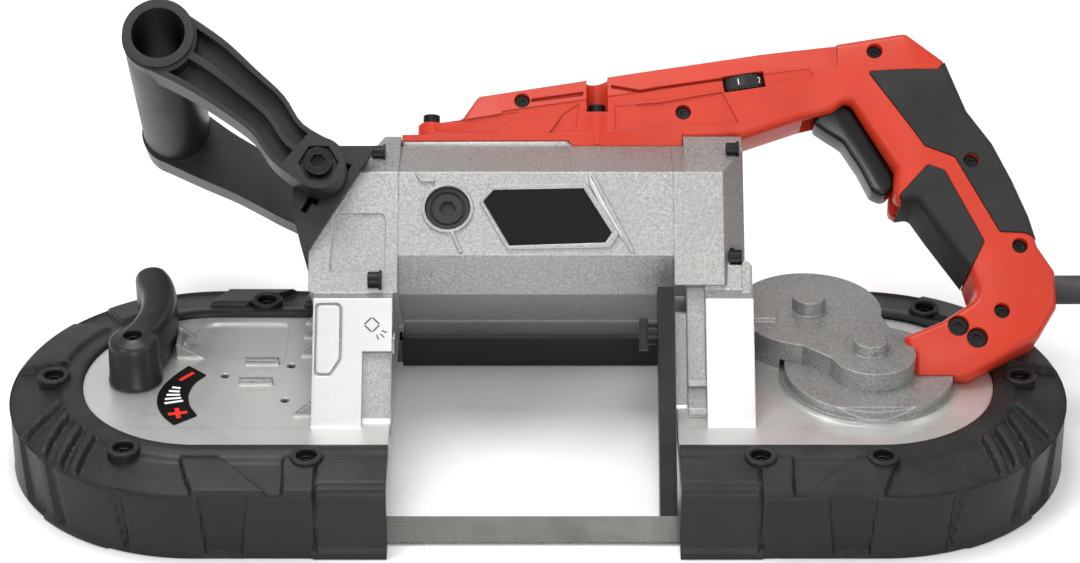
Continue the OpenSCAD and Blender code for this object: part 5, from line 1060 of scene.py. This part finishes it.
def grown(line, d):
    """A closed outline moved outwards by a distance in mm."""
    area = sum(a[0] * b[1] - b[0] * a[1] for a, b in zip(line, line[1:] + line[:1]))
    turn = 1 if area > 0 else -1
    out = []
    count = len(line)
    for i in range(count):
        a, b, c = Vector(line[i - 1]), Vector(line[i]), Vector(line[(i + 1) % count])
        u, w = (b - a).normalized(), (c - b).normalized()
        n = Vector((u.y + w.y, -u.x - w.x)).normalized()
        lean = max(0.5, n.dot(Vector((u.y, -u.x))))
        out.append(tuple(b + n * (turn * d / lean)))
    return out


def handle_frame(side):
    """The working plane's axes with z counted from the handle's seam, away from it."""
    return PLANE @ Matrix.Translation((0, 0, MOTOR_N / 1000)) @ Matrix.Scale(side, 4, Vector((0, 0, 1)))


def handle_form(side, grow=0.0, thicker=0.0, low=0.0):
    """The handle's half as a crowned block that thins towards the motor."""
    matrix = handle_frame(side)
    line = dense(grown(turn_line(HANDLE_OUTLINE, 6, 0.6), grow), 9)
    bm = bmesh.new()
    crowned(bm, line, matrix, low, HANDLE_HALF + thicker, 6.5, 3.4 + grow, 7)
    back = matrix.inverted()
    for v in bm.verts:
        p = back @ v.co
        if p.z > 0.0005:
            p.z *= (half_thickness(p.x * 1000) + thicker) / (HANDLE_HALF + thicker)
            v.co = matrix @ p
    return bm


def grip_regions(side, grow, low, high):
    """Blocks on the outlines of the two rubber grips, grown by a distance in mm."""
    bm = bmesh.new()
    for region in (REAR_GRIP, FRONT_GRIP):
        block(bm, grown(turn_line([(*p, 1.2) for p in region], 4), grow), low, high, handle_frame(side))
    return bm


def body_panels(matrix):
    """Cuts of the thin body's face: the slanted upper band, the sunk panels under it and the grooves between them."""
    slanted = prism([*BODY_FOLD, (150, 206), (-44.3, 206)], BODY_HALF - 6.0, BODY_HALF + 12, matrix)
    back = matrix.inverted()
    for v in slanted.verts:
        q = back @ v.co
        if q.z * 1000 < BODY_HALF and q.y * 1000 < 200:
            v.co = matrix @ Vector((q.x, q.y, (BODY_HALF - 0.13) / 1000))
    return [slanted] + [prism(outline, BODY_HALF - depth, 30, matrix) for outline, depth in BODY_PANELS]


def flange_screws(side):
    """The flange's screw bosses and the bores through them."""
    bosses, bores = bmesh.new(), bmesh.new()
    up = PLANE.to_3x3() @ Vector((0, 1, 0))
    for x, n, high, radius in FLANGE_BOSSES:
        n = n if side > 0 else 2 * MOTOR_N - n - 2
        foot = PLANE @ Vector((x / 1000, FLANGE_FOOT / 1000, n / 1000))
        turned(bosses, [(0, 0.73), (radius, 0.73), (radius, high - 1.1), (radius - 0.8, high - 0.3),
                        (0, high - 0.3)], foot, up, 32)
        bore = 5.37 if radius > 7 else radius - 1.6
        turned(bores, [(0, high - 0.38), (bore, high - 0.38), (bore, 70), (0, 70)], foot, up, 37)
    return bosses, bores


def handle_shell(side, name):
    """One shell: the crowned half with its flange and bosses, less the grip seats, the screws and the trigger's way."""
    matrix = handle_frame(side)
    flange = prism([(-67.6, FLANGE_FOOT), (71.7, FLANGE_FOOT), (71.7, 153.4), (-67.6, 151.6)], 0, FLANGE_REACH[side],
                   matrix)
    bosses, bores = flange_screws(side)
    seat = carved(name + "_seat", grip_regions(side, 0, -1, HANDLE_HALF + 3),
                  [("DIFFERENCE", handle_form(side, -1.8, -1.8, -2))])
    holes = bmesh.new()
    for x, y in HANDLE_SCREWS:
        drill(holes, [(x, y)], 3.9, half_thickness(x) - 6, half_thickness(x) + 9, matrix)
    drill(holes, FOOT_SCREWS, 5.2, HANDLE_HALF - 6, HANDLE_HALF + 9, matrix)
    way = prism(TRIGGER_WAY, -1, 9.5, matrix)
    flute = prism(turn_line(FLUTE, 3), BODY_HALF - 0.8, 30, matrix)
    window = bmesh.new()
    bmesh.ops.create_cube(window, size=1, matrix=PLANE @ Matrix.Translation((DIAL_X, DIAL_S, MOTOR_N / 1000 + 0.0115))
                          @ DIAL_LEAN @ Matrix.Diagonal((0.021, 0.0086, 0.012, 1)))
    foot_room = bmesh.new()
    turned(foot_room, [(0, -50), (43.8, -50), (43.8, 41.2), (41.3, 41.2), (41.3, 46.2), (0, 46.2)],
           Vector((0.161, SHIFT_Y, 0)), (0, 0, 1), 96)
    under = prism(rectangle(-90, 100, 90, FLANGE_FOOT), -40, 40, matrix)
    deck_room = prism(rectangle(100, -60, 300, 140), -60, 39.1, TABLE)
    # The thin body and the thick grip are one form, so the flange joins it before anything is cut
    cuts = [("DIFFERENCE", under), ("UNION", flange)]
    if side > 0:
        channel = prism(rectangle(24.25, 164.2, 34.75, 200), 7, 30, matrix)
        lip = prism([(-69, 144), (18.2, 144), (15.0, 148.6), (-69, 148.3)], 13.7, 20, matrix)
        cuts += [("DIFFERENCE", tool) for tool in (*body_panels(matrix), channel, lip, window)]
    cuts += [("UNION", bosses), ("DIFFERENCE", bores)]
    cuts += [("DIFFERENCE", tool) for tool in (seat, holes, way, flute, foot_room, deck_room)]
    return add_piece(name, carved(name, handle_form(side), cuts), "red_plastic", "saw", 32)


def handle_grip(side, name):
    """The rubber skins of one shell, cut back from the shell by a fine groove."""
    holes = bmesh.new()
    for x, y in HANDLE_SCREWS:
        drill(holes, [(x, y)], 3.9, -1, 60, handle_frame(side))
    out = carved(name, handle_form(side, 0.5, 0.5), [
        ("INTERSECT", grip_regions(side, -0.3, 0.05, HANDLE_HALF + 3)),
        ("DIFFERENCE", handle_form(side, -1.7, -1.3, -1)),
        ("DIFFERENCE", holes),
        ("DIFFERENCE", prism(TRIGGER_WAY, -1, 10.5, handle_frame(side)))])
    return add_piece(name, out, "grip_rubber", "saw", 32)


class SAW_OT_rear_handle(Operator):
    """Makes the rear handle's two moulded shells and their rubber grips, and finishes the trigger and the dial"""
    bl_idname = "saw.rear_handle"
    bl_label = "Rear handle"

    def execute(self, context):
        finish_group("rear_handle")
        for side, word in ((1, "near"), (-1, "far")):
            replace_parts(handle_shell(side, word.capitalize() + "_shell"), word + "_handle_shell")
            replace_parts(handle_grip(side, word.capitalize() + "_rubber_grip"), word + "_grip")
        strip = prism([(-67, 145.4), (17.2, 145.4), (14.3, 148.2), (-67, 147.9)], 13.8, 15.2, handle_frame(1))
        soften(strip, 0.25)
        add_piece("Housing_top_strip", strip, "cast_aluminium", "saw", 35)
        bm = bmesh.new()
        line = dense(turn_line(TRIGGER_OUTLINE, 5), 2.5)
        crowned(bm, line, PLANE @ Matrix.Translation((0, 0, MOTOR_N / 1000)), -9, 9, 2.4, 1.7, 5, True)
        bore = bmesh.new()
        drill(bore, [(146, 168)], 1.75, -20, 60, PLANE)
        finger = add_piece("Trigger_moulding", carved("trigger", bm, [("DIFFERENCE", bore)]), "gloss_plastic",
                           "trigger", 32)
        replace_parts(finger, "trigger")
        self.dial()
        return {"FINISHED"}

    def dial(self):
        """The speed dial: a knurled wheel with a printed band of numbers round its rim."""
        frame_at = (PLANE @ Matrix.Translation((DIAL_X, DIAL_S, 0.0195)) @ DIAL_LEAN
                    @ Matrix.Rotation(math.radians(90), 4, "X"))
        back = frame_at.inverted()
        bm = bmesh.new()
        turned(bm, DIAL_PROFILE, frame_at.translation, frame_at.to_3x3() @ Vector((0, 0, 1)), 144)
        for v in bm.verts:
            q = back @ v.co
            turn = math.degrees(math.atan2(q.y, q.x)) % 10
            if abs(q.z) > 0.00235 and q.xy.length > 0.0125 and 2 < turn < 8:
                q.xy *= 0.965
                v.co = frame_at @ q
        wheel = add_piece("Speed_dial_wheel", bm, "black_plastic", "dial", 32)
        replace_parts(wheel, "speed_dial")
        print_on = Matrix(((1, 0, 0, 0), (0, 0, 1, 0.0135), (0, -1, 0, 0), (0, 0, 0, 1)))
        bm = bmesh.new()
        for k in range(6):
            curve = bpy.data.curves.new("Dial_number", "FONT")
            curve.body = str(k + 1)
            curve.size = 0.0046
            curve.align_x = "CENTER"
            curve.align_y = "CENTER"
            curve.extrude = 0.00003
            holder = bpy.data.objects.new("Dial_number", curve)
            bpy.context.scene.collection.objects.link(holder)
            bpy.context.view_layer.update()
            shape = holder.evaluated_get(bpy.context.evaluated_depsgraph_get()).to_mesh()
            turn = Matrix.Rotation(math.radians(NUMBER_START - NUMBER_STEP * k), 4, "Z")
            shape.transform(frame_at @ turn @ print_on)
            bm.from_mesh(shape)
            bpy.data.objects.remove(holder)
            bpy.data.curves.remove(curve)
        # The flat numbers are laid on the rim
        for v in bm.verts:
            q = back @ v.co
            depth = q.xy.length
            q.xy *= (0.01344 if depth < 0.0135 else 0.01352) / depth
            v.co = frame_at @ q
        add_piece("Speed_dial_numbers", bm, "sign_white", "dial", 32, weld=FINE_WELD)


class SAW_OT_bumpers(Operator):
    """Makes the moulded bumpers of both wheel guards with their facets, lips and screw bosses"""
    bl_idname = "saw.bumpers"
    bl_label = "Bumpers"

    def execute(self, context):
        for side in ("left", "right"):
            bumper(side)
        return {"FINISHED"}


# ---------------------------------------------------------------------------
# Finishes of the nodes that keep their CAD shape
# ---------------------------------------------------------------------------

FINISHES = {
    "castings": {"cast_aluminium": ["idler_frame", "motor_housing", "gear_frame", "gear_cover", "gear_side_cover",
                                    "gear_case_plate"],
                 "machined_aluminium": ["drive_wheel", "idler_wheel"]},
    "guards": {"black_plastic": ["rear_blade_guard"],
               "black_steel": ["bumper_screws", "frame_screws", "handle_screws", "flange_screws"]},
    "labels": {"label_film": ["badge_plate", "tension_mark"], "lens": ["lamp_lens"]},
    "motor": {"stack_steel": ["field_core"], "copper": ["armature"], "bright_steel": ["motor_bearings"],
              "brass": ["brush_holders"], "carbon": ["carbon_brushes"], "black_plastic": ["brush_caps"]},
    "gears": {"bright_steel": ["first_gear_shaft", "second_gear_shaft", "upright_shaft", "drive_shaft",
                               "shaft_bearings"], "tyre_rubber": ["drive_tyre", "idler_tyre"]},
    "tensioner": {"bright_steel": ["tension_slide", "slide_keepers", "tension_springs"],
                  "black_steel": ["lever_screw"], "black_plastic": ["tension_lever"]},
    "cutting": {"blade_steel": ["saw_blade"], "bright_steel": ["left_front_roller", "left_rear_roller",
                "right_front_roller", "right_rear_roller"], "black_steel": ["left_blade_guide", "right_blade_guide",
                "work_stop", "work_stop_screw"]},
    "rear_handle": {"black_plastic": ["trigger", "switch_body", "speed_dial"],
                    "bright_steel": ["trigger_pin"]},
    "front_handle": {"black_plastic": ["front_handle", "front_handle_wedge"], "black_steel": ["front_handle_bolt"]},
}


def finish_group(name):
    """Gives a group's nodes their finishes."""
    for finish, nodes in FINISHES[name].items():
        for node in nodes:
            finish_node(node, finish)


def signs(name, outlines, height, matrix, finish):
    """Thin printed shapes on a face, on closed outlines in mm."""
    bm = bmesh.new()
    for outline in outlines:
        block(bm, outline, height - 0.03, height + 0.09, matrix)
    add_piece(name, bm, finish, "saw", 30)


def bar(middle, length, width, turn):
    """The outline of a straight bar about a point, turned by degrees."""
    out = []
    for x, y in ((-length, -width), (length, -width), (length, width), (-length, width)):
        p = Matrix.Rotation(math.radians(turn), 2) @ Vector((x / 2, y / 2))
        out.append((middle[0] + p.x, middle[1] + p.y))
    return out


class SAW_OT_castings(Operator):
    """Finishes the cast frames, the motor housing, the gear covers and the wheels"""
    bl_idname = "saw.castings"
    bl_label = "Castings"

    def execute(self, context):
        finish_group("castings")
        return {"FINISHED"}


class SAW_OT_guards(Operator):
    """Finishes the blade guard and the screws and adds the end caps' screw heads"""
    bl_idname = "saw.guards"
    bl_label = "Guards and screws"

    def execute(self, context):
        finish_group("guards")
        bm = bmesh.new()
        for x, s, n, r, length in ((-81.6, 138.0, 45.6, 3.6, 6.6), (-82.2, 70.4, 55.0, 4.2, 6.8),
                                   (92.4, 140.2, 44.8, 3.2, 6.4)):
            profile = [(0, 0), (r - 0.5, 0), (r, 0.4), (r, length - 1.6), (r - 0.4, length - 1.5),
                       (r + 0.7, length - 1.2), (r + 0.7, length), (0, length)]
            turned(bm, profile, plane(x, s, n), (1, 0, 0), 32)
        add_piece("Cap_screw_heads", bm, "black_steel", "saw", 30)
        return {"FINISHED"}


# The tension mark's outline with its corners' radii, the middle of the arc of its ticks, and the top of its film
TENSION_MARK = ((-171.7, 12.6, 0.8), (-177.0, 4.6, 30), (-181.4, -4.0, 30), (-184.1, -13.5, 30), (-183.4, -24.0, 30),
                (-179.6, -33.8, 30), (-173.2, -41.8, 0.8), (-162.9, -33.4, 0.8), (-167.4, -25.0, 20),
                (-169.2, -15.0, 20), (-167.6, -4.0, 20), (-162.2, 3.7, 0.8))
TICKS_AT = (-150.5, -14.6)
FILM_TOP = DECK_Z + 0.5
BADGE = ((-26.4, 110), (-21.5, 115.6), (22, 116.4), (35.6, 94), (32.5, 89.3), (-13.7, 87.8))
BADGE_RIDGE = ((24.6, 124.6), (25.0, 118.4), (37.4, 94.6), (40.2, 91.8), (45.4, 83.4), (46.6, 83.4), (41.4, 93.2),
               (30.9, 113.8))


class SAW_OT_labels(Operator):
    """Finishes the bare badge, the tension mark and the lamp's lens, and adds the printed signs"""
    bl_idname = "saw.labels"
    bl_label = "Badge, mark and lens"

    def execute(self, context):
        finish_group("labels")
        film = add_piece("Tension_mark_film", prism(turn_line(TENSION_MARK, 5), DECK_Z, FILM_TOP, TABLE),
                         "label_film", "saw", 35)
        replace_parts(film, "tension_mark")
        cross = []
        for k in range(4):
            quarter = Matrix.Rotation(math.radians(90 * k + 12), 2)
            for corner in ((1.15, -1.15), (4.6, -1.15), (4.6, 1.15)):
                cross.append(tuple(Vector((-172.4, -31.6)) + quarter @ Vector(corner)))
        signs("Tension_signs", [cross, bar((-171.6, 2.2), 9.4, 2.2, 51)], FILM_TOP, TABLE, "sign_red")
        turns = [166 + 7.4 * k for k in range(5)]
        ticks = [bar(middle, 4.2 + 1.2 * k, 1.6, turns[k])
                 for k, middle in enumerate(arc_points(*TICKS_AT, 25.8, turns))]
        signs("Tension_ticks", ticks, FILM_TOP, TABLE, "sign_white")
        # Lamp pictogram: a lens on its corner and three rays
        frame_bars = [bar((-79.6 + x, 47.2 + y), 4.6, 0.8, turn) for x, y, turn in
                      ((-1.9, 1.9, 45), (1.9, 1.9, -45), (-1.9, -1.9, -45), (1.9, -1.9, 45))]
        rays = [bar((-76.2 + x, 43.6 + y), 2.6, 0.7, turn) for x, y, turn in
                ((2.6, 0.2, -20), (1.6, -1.8, -45), (-0.6, -2.6, -70))]
        signs("Lamp_sign", frame_bars + rays, PAD_N, PLANE, "sign_grey")
        rim = carved("rim", prism(grown(BADGE, 1.9), 54.4, 55.9, PLANE),
                     [("DIFFERENCE", prism(grown(BADGE, 0.25), 54, 57, PLANE))])
        soften(rim, 0.35)
        add_piece("Badge_rim", rim, "machined_aluminium", "saw", 35)
        ridge = bmesh.new()
        crowned(ridge, BADGE_RIDGE, PLANE, 54, 56.1, 0.8, 0.4, 3)
        add_piece("Badge_ridge", ridge, "machined_aluminium", "saw", 35)
        return {"FINISHED"}


class SAW_OT_motor(Operator):
    """Finishes the motor's inner pieces"""
    bl_idname = "saw.motor"
    bl_label = "Motor"

    def execute(self, context):
        finish_group("motor")
        return {"FINISHED"}


class SAW_OT_gears(Operator):
    """Finishes the gears, the shafts and the wheels' tyres"""
    bl_idname = "saw.gears"
    bl_label = "Gears and tyres"

    def execute(self, context):
        finish_group("gears")
        return {"FINISHED"}


# The tension lever's bar in mm: the middle of its arc, the arc's radius, half the bar's width, and its near end
LEVER_MIDDLE = (-254.8, 33.5)
LEVER_R, LEVER_HALF = 67.2, 8.6
LEVER_FOOT = (-196.0, 0.9)


class SAW_OT_tensioner(Operator):
    """Finishes the tension block and its springs and makes the lever with its cam"""
    bl_idname = "saw.tensioner"
    bl_label = "Tensioner"

    def execute(self, context):
        finish_group("tensioner")
        # A bar of one width on an arc, round at both ends. Its near end lies in the hub
        tip = arc_points(*LEVER_MIDDLE, LEVER_R, [25])[0]
        bend = arc_points(*LEVER_MIDDLE, LEVER_R + LEVER_HALF, range(-29, 25, 3))
        bend += arc_points(*tip, LEVER_HALF, range(45, 181, 15))
        bend += arc_points(*LEVER_MIDDLE, LEVER_R - LEVER_HALF, range(22, -30, -3))
        bend += arc_points(*LEVER_FOOT, LEVER_HALF, range(165, 331, 15))
        bm = bmesh.new()
        crowned(bm, bend, TABLE, 43.4, 64.4, 5.2, 3.9, 7)
        hub, inner, bore = bmesh.new(), bmesh.new(), bmesh.new()
        foot = TABLE @ Vector((-0.196, 0, 0.039))
        turned(hub, [(0, 0.8), (13.1, 0.8), (13.3, 1.4), (13.1, 2.6), (12.7, 3.4), (12.2, 19.6), (11.9, 21.8),
                     (11.2, 23.4), (9.8, 24.2), (0, 24.6)], foot, (0, 0, 1), 48)
        turned(inner, [(0, -9.3), (4.5, -9.3), (4.5, 3), (0, 3)], foot, (0, 0, 1), 32)
        turned(bore, [(2.5, 5), (2.5, 20), (4.6, 20), (4.6, 40), (0, 40), (0, 5), (2.5, 5)], foot, (0, 0, 1), 32)
        slot = prism(bar((-201.6, 64.5), 9, 1.5, 28), 49, 60, TABLE)
        made = carved("lever", bm, [("UNION", hub), ("UNION", inner), ("DIFFERENCE", bore), ("DIFFERENCE", slot)])
        lever = add_piece("Tension_lever_moulding", made, "black_plastic", "lever", 38)
        cam = bmesh.new()
        cam_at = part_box("tension_lever")[0][2]
        drill(cam, [(-199, 0)], 8.0, cam_at * 1000, cam_at * 1000 + 7, TABLE, 48)
        add_piece("Lever_cam", cam, "bright_steel", "lever", 30)
        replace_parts(lever, "tension_lever")
        return {"FINISHED"}


class SAW_OT_cutting(Operator):
    """Finishes the blade, its guides and the work stop"""
    bl_idname = "saw.cutting"
    bl_label = "Blade and guides"

    def execute(self, context):
        finish_group("cutting")
        return {"FINISHED"}


class SAW_OT_front_handle(Operator):
    """Finishes the front handle and its bolt"""
    bl_idname = "saw.front_handle"
    bl_label = "Front handle"

    def execute(self, context):
        finish_group("front_handle")
        return {"FINISHED"}


OPERATORS = (SAW_OT_camera, SAW_OT_mains_lead, SAW_OT_studio, SAW_OT_castings, SAW_OT_bumpers, SAW_OT_guards,
             SAW_OT_labels, SAW_OT_motor, SAW_OT_gears, SAW_OT_tensioner, SAW_OT_cutting, SAW_OT_rear_handle,
             SAW_OT_front_handle)


class SAW_PT_panel(Panel):
    """Lists the saw's groups of pieces"""
    bl_idname = "SAW_PT_panel"
    bl_label = "Band Saw"
    bl_space_type = "VIEW_3D"
    bl_region_type = "UI"
    bl_category = "Band Saw"

    def draw(self, context):
        for name, _ in SETTINGS:
            box = self.layout.box()
            group_settings = getattr(context.scene, name)
            for prop in group_settings.bl_rna.properties:
                if prop.identifier not in ("rna_type", "name"):
                    box.prop(group_settings, prop.identifier)
        for operator in OPERATORS:
            self.layout.operator(operator.bl_idname)


def register():
    for name, settings in SETTINGS:
        bpy.utils.register_class(settings)
        setattr(bpy.types.Scene, name, PointerProperty(type=settings))
    for cls in (*OPERATORS, SAW_PT_panel):
        bpy.utils.register_class(cls)


def unregister():
    for cls in reversed((*OPERATORS, SAW_PT_panel)):
        bpy.utils.unregister_class(cls)
    for name, settings in reversed(SETTINGS):
        delattr(bpy.types.Scene, name)
        bpy.utils.unregister_class(settings)


def main():
    register()
    for operator in OPERATORS:
        area, name = operator.bl_idname.split(".")
        getattr(getattr(bpy.ops, area), name)()


if __name__ == "__main__":
    main()
